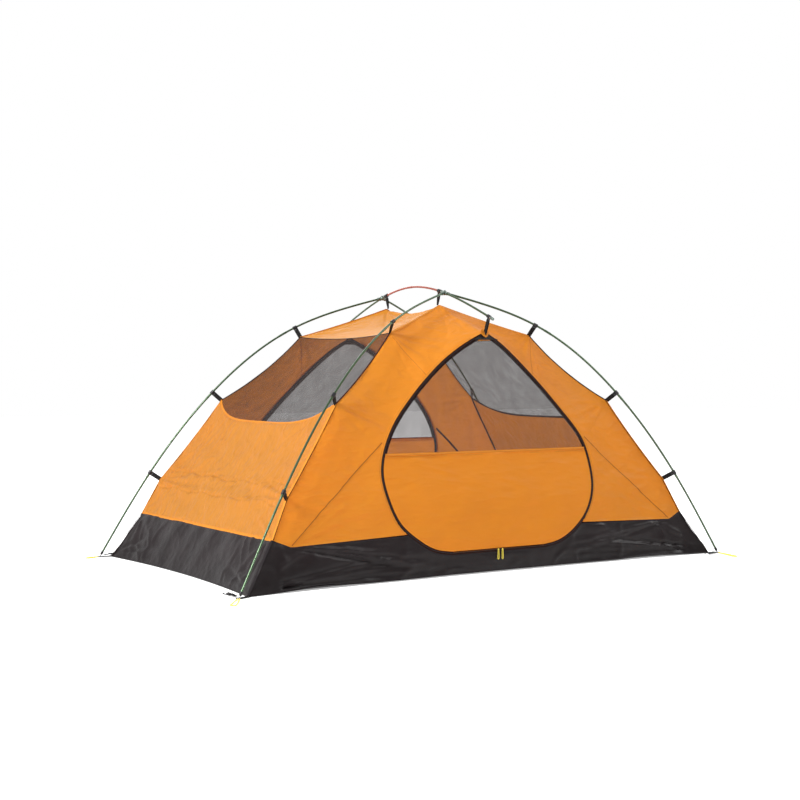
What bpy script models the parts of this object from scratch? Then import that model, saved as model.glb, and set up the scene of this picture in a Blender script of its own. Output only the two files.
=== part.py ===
"""Two-person backpacking tent, pitched, without its outer fly.

The frame is four leg poles and a short ridge pole that plug into two hubs.
The inner tent hangs from the poles on sixteen webbing clips. It has a
bathtub floor, a door wall on each long side, an end wall with a mesh window
on each short side and a small roof panel.

Metres. X runs along the length, -Y faces the front door, +Z is up. The
origin is the centre of the floor, on the ground. Every sheet of fabric is
modelled thicker than the real cloth, so that it is a solid.
"""

import math

import bmesh
import bpy
import numpy as np
from mathutils import Matrix, Vector

# ---------------------------------------------------------------- dimensions
POLE_RADIUS = 0.00425
SHEET = 0.002             # thickness given to each cloth panel
SEAM = 0.0025             # how far a panel stops short of the seam it is sewn to
FLOOR_SHEET = 0.003

# Where one leg pole passes, from the ground to the hub, on the +X +Y corner.
LEG_PATH = ((1.140, 0.657, 0.0035), (0.937, 0.600, 0.353), (0.690, 0.518, 0.687),
            (0.354, 0.397, 0.969), (0.0, 0.239, 1.102))
HUB = (0.0, 0.239, 1.102)
RIDGE_TOP = (0.0, 0.0, 1.138)
BROW_TIP = (0.0, 0.571, 0.983)

# Points of the cloth on the +X +Y corner.
FLOOR_CORNER = (1.100, 0.643, 0.0)
TUB_CORNER = (0.979, 0.590, 0.183)
TUB_KINK = (0.910, 0.602, 0.155)
FOLD_LOW = (0.907, 0.563, 0.325)
FOLD_MID = (0.660, 0.485, 0.657)
FOLD_HIGH = (0.343, 0.361, 0.928)
ROOF_PEAK = (0.0, 0.205, 1.051)
DOOR_APEX = (0.0, 0.519, 0.925)

FLOOR_SIDE_DRAW = 0.035   # the floor's edges curve in between the corners
FLOOR_END_DRAW = 0.038
FOLD_SAGS = (0.0, 0.005, 0.018, 0.004)    # between one clip and the next
ROOF_EDGE_SAG = 0.015
WINDOW_DIP = 0.079        # the window's lower edge is a shallow U
WINDOW_BOTTOM_X = 0.712
TUB_END_X = 0.976

# Right half of the door's outline, from its flat bottom to the apex.
DOOR_FLAT = 0.220
DOOR_PATH = ((DOOR_FLAT, 0.616, 0.088), (0.300, 0.616, 0.102), (0.387, 0.614, 0.150),
             (0.444, 0.605, 0.200), (0.493, 0.590, 0.300), (0.503, 0.561, 0.400),
             (0.475, 0.544, 0.500), (0.406, 0.518, 0.600), (0.312, 0.503, 0.700),
             (0.178, 0.497, 0.820), (0.058, 0.512, 0.900), (0.006, 0.518, 0.926))
DOOR_HALF_LINE = 0.466    # height of the seam between the cloth and the mesh
DOOR_TOP = 0.900
DOOR_BELLY = 0.006
BELLY_RISE = 0.15         # height over which the belly grows from the bottom of the door
ZIP_HALF_WIDTH = 0.005
ZIP_THICKNESS = 0.003
ZIP_GAP = 0.0015

WALL_START_Z = 0.170      # where the door wall's strip round the door begins
TUB_DOOR_Z = 0.168        # where the tub line meets the door
WALL_ROWS = 25
WALL_COLUMNS = np.array((0.0, 0.22, 0.44, 0.66, 0.87, 1.0))   # from the zip to the fold
WALL_KINK = 0.87          # the column that starts at the kink of the tub line
WALL_FADE = 0.3           # share of the strip over which its foot follows the tub line

SLIDER_X = 0.010
SLIDER_SIZE = (0.014, 0.004, 0.008)
PULL_LENGTH = 0.040
PULL_WIDTH = 0.008
PULL_CORD = 0.002
PULL_GAP = 0.0006
SLIDER_GAP = 0.0005       # between the slider and the zip

CLIP_BORE = 0.0047
CLIP_WALL = 0.0030
CLIP_WIDTH = 0.016
CLIP_JAW_END = math.radians(290)
STRAP_THICKNESS = 0.0018
STRAP_CLEARANCE = 0.004   # between a strap's end and the seam it is sewn to
TOP_STRAP_CLEARANCE = 0.009
CLIP_END_ROOM = 3         # stations left free beyond a clip at a pole's end
HUB_CLIP_GAP = 0.0005
HOOK_OUTER_SIDES = 14
HOOK_INNER_SIDES = 12

HUB_ARM = 0.022
HUB_ARM_START = 0.001
HUB_SOCKET_START = 0.012
HUB_BORE = 0.0047
HUB_ARM_RADIUS = 0.0066
HUB_BALL_RADIUS = 0.0105
POLE_PLUG_START = 0.0125

TAB_WIDTH = 0.020
TAB_Z = (0.0012, 0.0032)
TAB_HOLE = 0.0065
TAB_END_RADIUS = 0.012
BUCKLE_STRAP = 0.055
BUCKLE_START = 0.020
BUCKLE_WIDTH = 0.024
BUCKLE_BODY = 0.018
BUCKLE_PRONG = 0.030
BUCKLE_PRONG_WIDTH = 0.006
BUCKLE_TIP = (0.010, 0.004, 0.003)   # length of the hooked tip, of its point, and its bevel
BUCKLE_TONGUE = (0.002, 0.006)       # half width of the middle prong, and how much shorter it is
BUCKLE_Z = (0.0040, 0.0100)

PEG_CORD_RADIUS = 0.0020
PEG_LOOP_HALF_WIDTH = 0.009

# sign of X, sign of Y, where the fly buckle lies, where the peg loop reaches
CORNERS = {
    "front_left": (-1, -1, (-0.03, 1.0), (-0.085, -0.125)),
    "front_right": (1, -1, (-1.0, -0.36), (-0.035, -0.140)),
    "rear_left": (-1, 1, (1.0, 0.36), (-0.066, -0.026)),
    "rear_right": (1, 1, (0.03, -1.0), (0.095, 0.055)),
}
SIDES = {"front": -1, "rear": 1}
ENDS = {"left": -1, "right": 1}
INSIDE = Vector((0.0, 0.0, 0.35))


# ------------------------------------------------------------------ materials
def material(name, colour, roughness, metallic=0.0):
    made = bpy.data.materials.new(name)
    made.use_nodes = True
    shader = made.node_tree.nodes["Principled BSDF"]
    shader.inputs["Base Color"].default_value = (*colour, 1.0)
    shader.inputs["Roughness"].default_value = roughness
    shader.inputs["Metallic"].default_value = metallic
    return made


def make_materials():
    return {
        "orange_cloth": material("orange_cloth", (0.75, 0.27, 0.04), 0.62),
        "charcoal_cloth": material("charcoal_cloth", (0.045, 0.042, 0.048), 0.55),
        "dark_mesh": material("dark_mesh", (0.10, 0.095, 0.10), 0.80),
        "black_webbing": material("black_webbing", (0.015, 0.015, 0.017), 0.70),
        "black_plastic": material("black_plastic", (0.02, 0.02, 0.022), 0.40),
        "zip_tape": material("zip_tape", (0.03, 0.025, 0.025), 0.65),
        "green_pole": material("green_pole", (0.07, 0.13, 0.09), 0.32, 0.85),
        "red_pole": material("red_pole", (0.55, 0.10, 0.06), 0.32, 0.80),
        "hub_metal": material("hub_metal", (0.09, 0.10, 0.10), 0.38, 0.80),
        "yellow_cord": material("yellow_cord", (0.85, 0.66, 0.03), 0.65),
    }


# ------------------------------------------------------------------- geometry
def mirrored(point, sign_x, sign_y):
    return np.array((point[0] * sign_x, point[1] * sign_y, point[2]))


def arc_lengths(points):
    steps = np.linalg.norm(np.diff(points, axis=0), axis=1)
    return np.concatenate(([0.0], np.cumsum(steps)))


def resample(points, count):
    """Points spaced evenly along a polyline."""
    points = np.asarray(points, float)
    along = arc_lengths(points)
    wanted = np.linspace(0.0, along[-1], count)
    return np.column_stack([np.interp(wanted, along, points[:, axis]) for axis in range(3)])


def smooth_curve(points, count):
    """Points along the natural cubic spline through the given points."""
    points = np.asarray(points, float)
    knots = arc_lengths(points)
    step = np.diff(knots)
    size = len(points)
    system = np.eye(size)
    right = np.zeros((size, 3))
    for i in range(1, size - 1):
        system[i, i - 1:i + 2] = (step[i - 1], 2 * (step[i - 1] + step[i]), step[i])
        slope_after = (points[i + 1] - points[i]) / step[i]
        slope_before = (points[i] - points[i - 1]) / step[i - 1]
        right[i] = 6 * (slope_after - slope_before)
    bend = np.linalg.solve(system, right)
    fine = []
    for t in np.linspace(0.0, knots[-1], 400):
        i = min(int(np.searchsorted(knots, t, side="right")) - 1, size - 2)
        a = (knots[i + 1] - t) / step[i]
        b = 1.0 - a
        cubic = ((a ** 3 - a) * bend[i] + (b ** 3 - b) * bend[i + 1]) * step[i] ** 2 / 6
        fine.append(a * points[i] + b * points[i + 1] + cubic)
    return resample(fine, count)


def sagging_span(start, end, sag, count):
    """A taut edge between two clips, drawn in towards the middle of the tent."""
    start, end = np.asarray(start, float), np.asarray(end, float)
    chord = (end - start) / np.linalg.norm(end - start)
    inward = np.array(INSIDE) - (start + end) / 2
    inward -= chord * inward.dot(chord)
    inward /= np.linalg.norm(inward)
    t = np.linspace(0.0, 1.0, count)[:, None]
    return start + (end - start) * t + inward * sag * 4 * t * (1 - t)


def fold_edge(sign_x, sign_y, first, last, per_span=9):
    """The corner fold of the cloth, from stop number first to stop number last."""
    stops = (TUB_CORNER, FOLD_LOW, FOLD_MID, FOLD_HIGH, ROOF_PEAK)
    pieces = []
    for i in range(first, last):
        low, high = (mirrored(stop, sign_x, sign_y) for stop in stops[i:i + 2])
        span = sagging_span(low, high, FOLD_SAGS[i], per_span)
        pieces.append(span if i == first else span[1:])
    return np.vstack(pieces)


def door_outline(offset, sign_x, sign_y):
    """One half of the door's outline, moved outward by offset, bottom to apex."""
    path = smooth_curve([(x, y, z) for x, y, z in DOOR_PATH], 60)
    tangent = np.gradient(path, axis=0)
    out = np.column_stack((tangent[:, 2], np.zeros(len(path)), -tangent[:, 0]))
    out[0] = (0.0, 0.0, -1.0)
    out /= np.linalg.norm(out, axis=1)[:, None]
    moved = path + out * offset
    moved[:, 0] = np.maximum(moved[:, 0], 0.0)
    return moved * np.array((sign_x, sign_y, 1.0))


def cut_at_height(path, height):
    """The part of a rising path above a height, starting exactly on it."""
    above = int(np.argmax(path[:, 2] > height))
    low, high = path[above - 1], path[above]
    t = (height - low[2]) / (high[2] - low[2])
    return np.vstack((low + (high - low) * t, path[above:]))


def coons(bottom, top, left, right):
    """Grid spanned by four edges; left and right run from bottom to top."""
    rows, columns = len(left), len(bottom)
    u = np.linspace(0.0, 1.0, rows)[:, None, None]
    v = np.linspace(0.0, 1.0, columns)[None, :, None]
    across = left[:, None, :] * (1 - v) + right[:, None, :] * v
    along = bottom[None, :, :] * (1 - u) + top[None, :, :] * u
    corners = ((bottom[0] * (1 - v) + bottom[-1] * v) * (1 - u)
               + (top[0] * (1 - v) + top[-1] * v) * u)
    return across + along - corners


def shrink(grid, margin):
    """The same sheet with its outer rows and columns drawn in by margin."""
    grid = grid.copy()
    for turned in (grid, grid.transpose(1, 0, 2)):
        for edge, inner in ((0, 1), (-1, -2)):
            step = turned[inner] - turned[edge]
            length = np.linalg.norm(step, axis=1)[:, None]
            turned[edge] += step * np.minimum(margin / np.maximum(length, 1e-9), 0.8)
    return grid


# -------------------------------------------------------------- mesh building
def new_object(name, verts, faces, finish, origin=(0.0, 0.0, 0.0), smooth_angle=35.0):
    """A mesh object whose points are given in world space and whose origin is placed."""
    origin = Vector(origin)
    mesh = bpy.data.meshes.new(name)
    mesh.from_pydata([Vector(v) - origin for v in verts], [], faces)
    shell = bmesh.new()
    shell.from_mesh(mesh)
    bmesh.ops.remove_doubles(shell, verts=shell.verts, dist=1e-6)
    bmesh.ops.recalc_face_normals(shell, faces=shell.faces)
    shell.to_mesh(mesh)
    shell.free()
    mesh.shade_smooth()
    mesh.set_sharp_from_angle(angle=math.radians(smooth_angle))
    mesh.materials.append(finish)
    made = bpy.data.objects.new(name, mesh)
    made.location = origin
    bpy.context.scene.collection.objects.link(made)
    return made


def sheet(name, grid, finish, thickness=SHEET, origin=(0.0, 0.0, 0.0)):
    """A closed solid: the grid is its outer face and it thickens into the tent."""
    rows, columns = grid.shape[:2]
    across = np.gradient(grid, axis=1)
    along = np.gradient(grid, axis=0)
    normal = np.cross(across, along)
    normal /= np.maximum(np.linalg.norm(normal, axis=2), 1e-12)[:, :, None]
    toward = np.array(INSIDE) - grid
    if np.sum(normal * toward) < 0:
        normal = -normal
    inner = grid + normal * thickness
    verts = np.vstack((grid.reshape(-1, 3), inner.reshape(-1, 3)))
    back = rows * columns
    faces = []
    for i in range(rows - 1):
        for j in range(columns - 1):
            a = i * columns + j
            quad = (a, a + 1, a + columns + 1, a + columns)
            faces.append(quad)
            faces.append(tuple(back + k for k in reversed(quad)))
    rim = [j for j in range(columns)]
    rim += [i * columns + columns - 1 for i in range(1, rows)]
    rim += [(rows - 1) * columns + j for j in range(columns - 2, -1, -1)]
    rim += [i * columns for i in range(rows - 2, 0, -1)]
    for k, a in enumerate(rim):
        b = rim[(k + 1) % len(rim)]
        faces.append((a, b, back + b, back + a))
    return new_object(name, verts, faces, finish, origin)


def tube(name, path, radius, finish):
    """A round rod or cord: an eight-sided bevelled curve with filled ends."""
    curve = bpy.data.curves.new(name, "CURVE")
    curve.dimensions = "3D"
    curve.bevel_depth = radius
    curve.bevel_resolution = 2
    curve.render_resolution_u = 0
    curve.use_fill_caps = True
    curve.materials.append(finish)
    spline = curve.splines.new("POLY")
    spline.points.add(len(path) - 1)
    origin = Vector(path[0])
    for point, place in zip(spline.points, path):
        point.co = (*(Vector(place) - origin), 1.0)
    made = bpy.data.objects.new(name, curve)
    made.location = origin
    bpy.context.scene.collection.objects.link(made)
    return made


def cylinder(name, start, end, radius, sides=14):
    """A straight cylinder between two points."""
    axis = end - start
    bpy.ops.mesh.primitive_cylinder_add(vertices=sides, radius=radius, depth=axis.length,
                                        location=(start + end) / 2,
                                        rotation=axis.to_track_quat("Z", "Y").to_euler())
    made = bpy.context.object
    made.name = name
    return made


def prism(name, outline, low, high, finish, placed):
    """A flat outline in local XY, thickened from low to high along local Z."""
    count = len(outline)
    verts = [placed @ Vector((x, y, low)) for x, y in outline]
    verts += [placed @ Vector((x, y, high)) for x, y in outline]
    faces = [tuple(range(count)), tuple(range(count, 2 * count))]
    for k in range(count):
        after = (k + 1) % count
        faces.append((k, after, count + after, count + k))
    return new_object(name, verts, faces, finish, placed.translation)


def frame_at(origin, forward, up):
    """A placement whose X runs forward and whose Z is as near to up as it can be."""
    x_axis = Vector(forward).normalized()
    z_axis = Vector(up) - x_axis * Vector(up).dot(x_axis)
    z_axis.normalize()
    y_axis = z_axis.cross(x_axis)
    placed = Matrix((x_axis, y_axis, z_axis)).transposed().to_4x4()
    placed.translation = Vector(origin)
    return placed


def add_boolean(target, other, operation):
    other.hide_render = True
    other.display_type = "WIRE"
    cut = target.modifiers.new(operation.lower() + "_" + other.name, "BOOLEAN")
    cut.operation = operation
    cut.object = other
    cut.solver = "EXACT"


# ---------------------------------------------------------------------- poles
def leg_curve(sign_x, sign_y, count=400):
    """A leg pole's centre line, from the hub down to the ground."""
    points = [mirrored(p, sign_x, sign_y) for p in reversed(LEG_PATH)]
    return smooth_curve(points, count)


def ridge_curve(count=400):
    """The ridge pole's centre line, from the front tip to the rear tip."""
    right_half = (BROW_TIP, HUB, RIDGE_TOP)
    front = [mirrored(p, 1, -1) for p in right_half]
    rear = [mirrored(p, 1, 1) for p in right_half[:2]]
    return smooth_curve(front + rear[::-1], count)


def beyond(path, centre, distance, count):
    """The stretch of a path that starts a given distance from a point on it."""
    away = np.linalg.norm(path - np.asarray(centre, float), axis=1)
    return resample(path[int(np.argmax(away > distance)):], count)


def leg_stations(sign_x, sign_y):
    """The points that a leg pole's tube is built on."""
    hub = mirrored(HUB, sign_x, sign_y)
    return beyond(leg_curve(sign_x, sign_y), hub, POLE_PLUG_START, 30)


def brow_stations(sign_y):
    ridge = ridge_curve()
    hub = mirrored(HUB, 1, sign_y)
    outward = ridge if sign_y > 0 else ridge[::-1]
    outward = outward[outward[:, 1] * sign_y > HUB[1]]
    return beyond(outward, hub, POLE_PLUG_START, 7)


def ridge_stations():
    ridge = ridge_curve()
    return resample(ridge[np.abs(ridge[:, 1]) < HUB[1] - POLE_PLUG_START], 11)


def make_poles(finishes):
    for name, (sign_x, sign_y, _, _) in CORNERS.items():
        tube("leg_pole_" + name, leg_stations(sign_x, sign_y), POLE_RADIUS, finishes["green_pole"])
    for side, sign_y in SIDES.items():
        tube("brow_pole_" + side, brow_stations(sign_y), POLE_RADIUS, finishes["green_pole"])
    tube("ridge_pole", ridge_stations(), POLE_RADIUS, finishes["red_pole"])


def make_hub(side, sign_y, finishes):
    """A ball with four sockets: two for the legs and two for the ridge pole."""
    centre = Vector(mirrored(HUB, 1, sign_y))
    bpy.ops.mesh.primitive_uv_sphere_add(segments=16, ring_count=10, radius=HUB_BALL_RADIUS,
                                         location=centre)
    hub = bpy.context.object
    hub.name = "hub_" + side
    hub.data.materials.append(finishes["hub_metal"])
    ridge = ridge_curve()
    nearest = int(np.argmin(np.linalg.norm(ridge - np.array(centre), axis=1)))
    along_ridge = Vector(ridge[nearest + 4] - ridge[nearest - 4]).normalized()
    legs = [leg_curve(sign_x, sign_y) for sign_x in (-1, 1)]
    arms = [Vector(leg[8] - leg[0]).normalized() for leg in legs] + [along_ridge, -along_ridge]
    for number, direction in enumerate(arms):
        arm = cylinder(f"hub_{side}_arm_{number}", centre + direction * HUB_ARM_START,
                       centre + direction * HUB_ARM, HUB_ARM_RADIUS)
        add_boolean(hub, arm, "UNION")
    for number, direction in enumerate(arms):
        socket = cylinder(f"hub_{side}_socket_{number}", centre + direction * HUB_SOCKET_START,
                          centre + direction * 2 * HUB_ARM, HUB_BORE)
        add_boolean(hub, socket, "DIFFERENCE")


# ---------------------------------------------------------------------- clips
def clip_outline(strap_length):
    """A hook that wraps round the pole and runs on as a flat strap along +X."""
    outer = CLIP_BORE + CLIP_WALL
    half = STRAP_THICKNESS / 2
    root = math.asin(half / outer)
    points = [(strap_length, half)]
    for k in range(HOOK_OUTER_SIDES + 1):
        turn = root + (CLIP_JAW_END - root) * k / HOOK_OUTER_SIDES
        points.append((outer * math.cos(turn), outer * math.sin(turn)))
    for k in range(HOOK_INNER_SIDES + 1):
        turn = CLIP_JAW_END - (CLIP_JAW_END + root) * k / HOOK_INNER_SIDES
        points.append((CLIP_BORE * math.cos(turn), CLIP_BORE * math.sin(turn)))
    points.append((outer * math.cos(root), -half))
    points.append((strap_length, -half))
    return points


def make_clip(name, pole_point, pole_direction, cloth_point, clearance, finishes):
    reach = Vector(cloth_point) - Vector(pole_point)
    direction = Vector(pole_direction).normalized()
    across = reach - direction * reach.dot(direction)
    placed = frame_at(pole_point, across, direction)
    outline = clip_outline(across.length - clearance)
    prism(name, outline, -CLIP_WIDTH / 2, CLIP_WIDTH / 2, finishes["black_webbing"], placed)


def clip_on(name, stations, cloth_point, clearance, finishes):
    """A clip where a pole passes closest to a point of the cloth."""
    path = resample(stations, 400)
    nearest = int(np.argmin(np.linalg.norm(path - np.asarray(cloth_point), axis=1)))
    nearest = min(max(nearest, CLIP_END_ROOM), len(path) - 1 - CLIP_END_ROOM)
    direction = path[nearest + 2] - path[nearest - 2]
    make_clip(name, path[nearest], direction, cloth_point, clearance, finishes)


def make_clips(finishes):
    for name, (sign_x, sign_y, _, _) in CORNERS.items():
        stations = leg_stations(sign_x, sign_y)
        for level, stop in (("low", FOLD_LOW), ("middle", FOLD_MID), ("high", FOLD_HIGH)):
            clip_on(f"clip_{name}_{level}", stations, mirrored(stop, sign_x, sign_y),
                    STRAP_CLEARANCE, finishes)
    ridge = resample(ridge_stations(), 400)
    for side, sign_y in SIDES.items():
        inner = ridge[np.abs(ridge[:, 1]) < HUB[1] - HUB_ARM - CLIP_WIDTH / 2 - HUB_CLIP_GAP]
        clip_on("hub_clip_" + side, inner, mirrored(ROOF_PEAK, 1, sign_y),
                TOP_STRAP_CLEARANCE, finishes)
        clip_on("brow_strap_" + side, brow_stations(sign_y), mirrored(DOOR_APEX, 1, sign_y),
                TOP_STRAP_CLEARANCE, finishes)


# ---------------------------------------------------------------------- cloth
def wall_grid(sign_y):
    """The door wall: a band round the door, from one end of the tub over to the other."""
    halves = []
    for sign_x in (1, -1):
        inner = door_outline(ZIP_HALF_WIDTH + ZIP_GAP, sign_x, sign_y)
        inner = resample(cut_at_height(inner, WALL_START_Z), WALL_ROWS)
        inner[-1, 0] = 0.0
        outer = resample(fold_edge(sign_x, sign_y, 0, 4), WALL_ROWS)
        across = WALL_COLUMNS[None, :, None]
        grid = inner[:, None, :] * (1 - across) + outer[:, None, :] * across
        kink = mirrored(TUB_KINK, sign_x, sign_y)
        lower = [inner[0] + (kink - inner[0]) * (c / WALL_KINK) for c in WALL_COLUMNS[:-1]]
        lower = np.vstack((*lower, outer[0]))
        fade = np.maximum(0.0, 1.0 - np.linspace(0.0, 1.0, WALL_ROWS) / WALL_FADE)
        grid += (lower - grid[0])[None, :, :] * fade[:, None, None]
        halves.append(grid)
    return np.vstack((halves[0], halves[1][-2::-1]))


def end_lines(sign_x, count=13):
    """The tub line, the window's lower edge and its upper edge, front to rear."""
    across = np.linspace(-1.0, 1.0, count)
    bow = 1 - across ** 2
    tub = np.column_stack(((TUB_CORNER[0] - (TUB_CORNER[0] - TUB_END_X) * bow) * sign_x,
                           TUB_CORNER[1] * across, np.full(count, TUB_CORNER[2])))
    deep = 1 - across ** 4
    window_x = FOLD_MID[0] + (WINDOW_BOTTOM_X - FOLD_MID[0]) * deep
    window = np.column_stack((window_x * sign_x, FOLD_MID[1] * across,
                              FOLD_MID[2] - WINDOW_DIP * deep))
    roof = np.column_stack((np.full(count, FOLD_HIGH[0] * sign_x), FOLD_HIGH[1] * across,
                            FOLD_HIGH[2] - ROOF_EDGE_SAG * bow))
    return tub, window, roof


def make_ends(finishes):
    for end, sign_x in ENDS.items():
        tub, window, roof = end_lines(sign_x)
        front = resample(fold_edge(sign_x, -1, 0, 2), 11)
        rear = resample(fold_edge(sign_x, 1, 0, 2), 11)
        sheet("end_wall_" + end, shrink(coons(tub, window, front, rear), SEAM),
              finishes["orange_cloth"])
        front = resample(fold_edge(sign_x, -1, 2, 3), 8)
        rear = resample(fold_edge(sign_x, 1, 2, 3), 8)
        sheet("window_mesh_" + end, shrink(coons(window, roof, front, rear), SEAM),
              finishes["dark_mesh"])


def make_roof(finishes):
    edges = []
    for sign_y in (-1, 1):
        left = resample(fold_edge(-1, sign_y, 3, 4), 7)
        right = resample(fold_edge(1, sign_y, 3, 4), 7)
        edges.append(np.vstack((left, right[-2::-1])))
    left_edge = resample(end_lines(-1)[2], 9)
    right_edge = resample(end_lines(1)[2], 9)
    sheet("roof_panel", shrink(coons(edges[0], edges[1], left_edge, right_edge), SEAM),
          finishes["orange_cloth"])


def door_rows(sign_y, low, high, rows):
    """Level rows across the door, from edge to edge, each with a slight belly."""
    edge = door_outline(-ZIP_HALF_WIDTH - ZIP_GAP, 1, sign_y)
    part = cut_at_height(edge, low) if low > edge[0][2] else edge
    part = part[part[:, 2] < high]
    full = cut_at_height(edge, high)
    part = resample(np.vstack((part, full[0])), rows)
    across = np.linspace(-1.0, 1.0, 9)
    grid = np.repeat(part[:, None, :], len(across), axis=1)
    grid[:, :, 0] *= across[None, :]
    rise = np.clip((part[:, 2] - DOOR_PATH[0][2]) / BELLY_RISE, 0.0, 1.0)
    grid[:, :, 1] += sign_y * DOOR_BELLY * rise[:, None] * (1 - across ** 2)[None, :]
    return grid


def make_door(side, sign_y, finishes):
    hinge = mirrored(DOOR_APEX, 1, sign_y)
    lower = door_rows(sign_y, 0.0, DOOR_HALF_LINE - SEAM / 2, 12)
    upper = door_rows(sign_y, DOOR_HALF_LINE + SEAM / 2, DOOR_TOP, 12)
    sheet("door_cloth_" + side, lower, finishes["orange_cloth"], origin=hinge)
    sheet("door_mesh_" + side, upper, finishes["dark_mesh"], origin=hinge)


def zip_path(sign_y):
    """Once round the door, from the apex down one side and up the other."""
    right = door_outline(0.0, 1, sign_y)[:-1]
    left = door_outline(0.0, -1, sign_y)[:-1]
    side = resample(right, 24)
    bottom = np.linspace(right[0], left[0], 5)[1:-1]
    return np.vstack((side[::-1], bottom, resample(left, 24)))


def make_zip(side, sign_y, finishes):
    path = zip_path(sign_y)
    tangent = np.gradient(path, axis=0)
    out = np.column_stack((tangent[:, 2], np.zeros(len(path)), -tangent[:, 0]))
    out /= np.linalg.norm(out, axis=1)[:, None]
    depth = np.array((0.0, ZIP_THICKNESS / 2, 0.0))
    corners = (out * ZIP_HALF_WIDTH + depth, out * ZIP_HALF_WIDTH - depth,
               -out * ZIP_HALF_WIDTH - depth, -out * ZIP_HALF_WIDTH + depth)
    verts = [path[i] + corner[i] for i in range(len(path)) for corner in corners]
    last = 4 * (len(path) - 1)
    faces = [(0, 1, 2, 3), (last, last + 1, last + 2, last + 3)]
    for i in range(len(path) - 1):
        for k in range(4):
            a, b = 4 * i + k, 4 * i + (k + 1) % 4
            faces.append((a, b, b + 4, a + 4))
    new_object("door_zip_" + side, verts, faces, finishes["zip_tape"])


def make_sliders(side, sign_y, finishes):
    """Two zip sliders that meet at the bottom of the door, each with a cord pull."""
    width, depth, height = SLIDER_SIZE
    face = DOOR_PATH[0][1] + ZIP_THICKNESS / 2 + SLIDER_GAP
    centre_z = DOOR_PATH[0][2]
    for end, sign_x in ENDS.items():
        centre = Vector((SLIDER_X * sign_x, (face + depth / 2) * sign_y, centre_z))
        outline = [(-width / 2, -height / 2), (width / 2, -height / 2 + 0.001),
                   (width / 2, height / 2 - 0.001), (-width / 2, height / 2)]
        outline = [(x * sign_x, z) for x, z in outline]
        placed = Matrix.Translation(centre) @ Matrix.Rotation(math.pi / 2, 4, "X")
        prism(f"zip_slider_{side}_{end}", outline, -depth / 2, depth / 2,
              finishes["black_plastic"], placed)
        stand_off = depth / 2 + PULL_CORD / 2 + PULL_GAP
        top = centre + Vector((0.0, stand_off * sign_y, height / 2))
        half = PULL_WIDTH / 2 - PULL_CORD / 2
        ring = []
        for k in range(8):
            turn = math.pi * k / 7
            ring.append(top + Vector((half * math.cos(turn), 0.0, half * (math.sin(turn) - 1))))
        for k in range(8):
            turn = math.pi + math.pi * k / 7
            ring.append(top + Vector((half * math.cos(turn), 0.0,
                                      half * (math.sin(turn) + 1) - PULL_LENGTH)))
        closed_ring(f"zip_pull_{side}_{end}", ring, PULL_CORD / 2, finishes["yellow_cord"], top)


def closed_ring(name, path, radius, finish, origin, sides=6):
    """A round cord that runs in a closed loop in a plane of constant Y."""
    count = len(path)
    verts = []
    for i, centre in enumerate(path):
        tangent = (path[(i + 1) % count] - path[i - 1]).normalized()
        out = Vector((0.0, 1.0, 0.0))
        across = tangent.cross(out)
        for k in range(sides):
            turn = 2 * math.pi * k / sides
            verts.append(centre + (out * math.cos(turn) + across * math.sin(turn)) * radius)
    faces = []
    for i in range(count):
        for k in range(sides):
            a, b = i * sides + k, i * sides + (k + 1) % sides
            c, d = ((i + 1) % count) * sides + (k + 1) % sides, ((i + 1) % count) * sides + k
            faces.append((a, b, c, d))
    return new_object(name, verts, faces, finish, origin)


def make_doors_and_walls(finishes):
    for side, sign_y in SIDES.items():
        sheet("door_wall_" + side, shrink(wall_grid(sign_y), SEAM), finishes["orange_cloth"])
        make_door(side, sign_y, finishes)
        make_zip(side, sign_y, finishes)
        make_sliders(side, sign_y, finishes)


# ------------------------------------------------------------------------ tub
def tub_top_side(sign_y):
    """The tub's top line along one long side, left to right, dipping under the door."""
    outline = door_outline(ZIP_HALF_WIDTH + ZIP_GAP, 1, sign_y)
    under_door = outline[outline[:, 2] < TUB_DOOR_Z]
    half = np.vstack((resample(under_door, 7), mirrored(TUB_KINK, 1, sign_y),
                      mirrored(TUB_CORNER, 1, sign_y)))
    between = half[6] + (half[7] - half[6]) * np.linspace(0.0, 1.0, 5)[1:-1, None]
    half = np.vstack((half[:7], between, half[7:]))
    left = half[::-1] * np.array((-1.0, 1.0, 1.0))
    return np.vstack((left, half))


def floor_side(xs, sign_y):
    bow = 1 - (xs / FLOOR_CORNER[0]) ** 2
    ys = (FLOOR_CORNER[1] - FLOOR_SIDE_DRAW * bow) * sign_y
    return np.column_stack((xs, ys, np.zeros(len(xs))))


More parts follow.
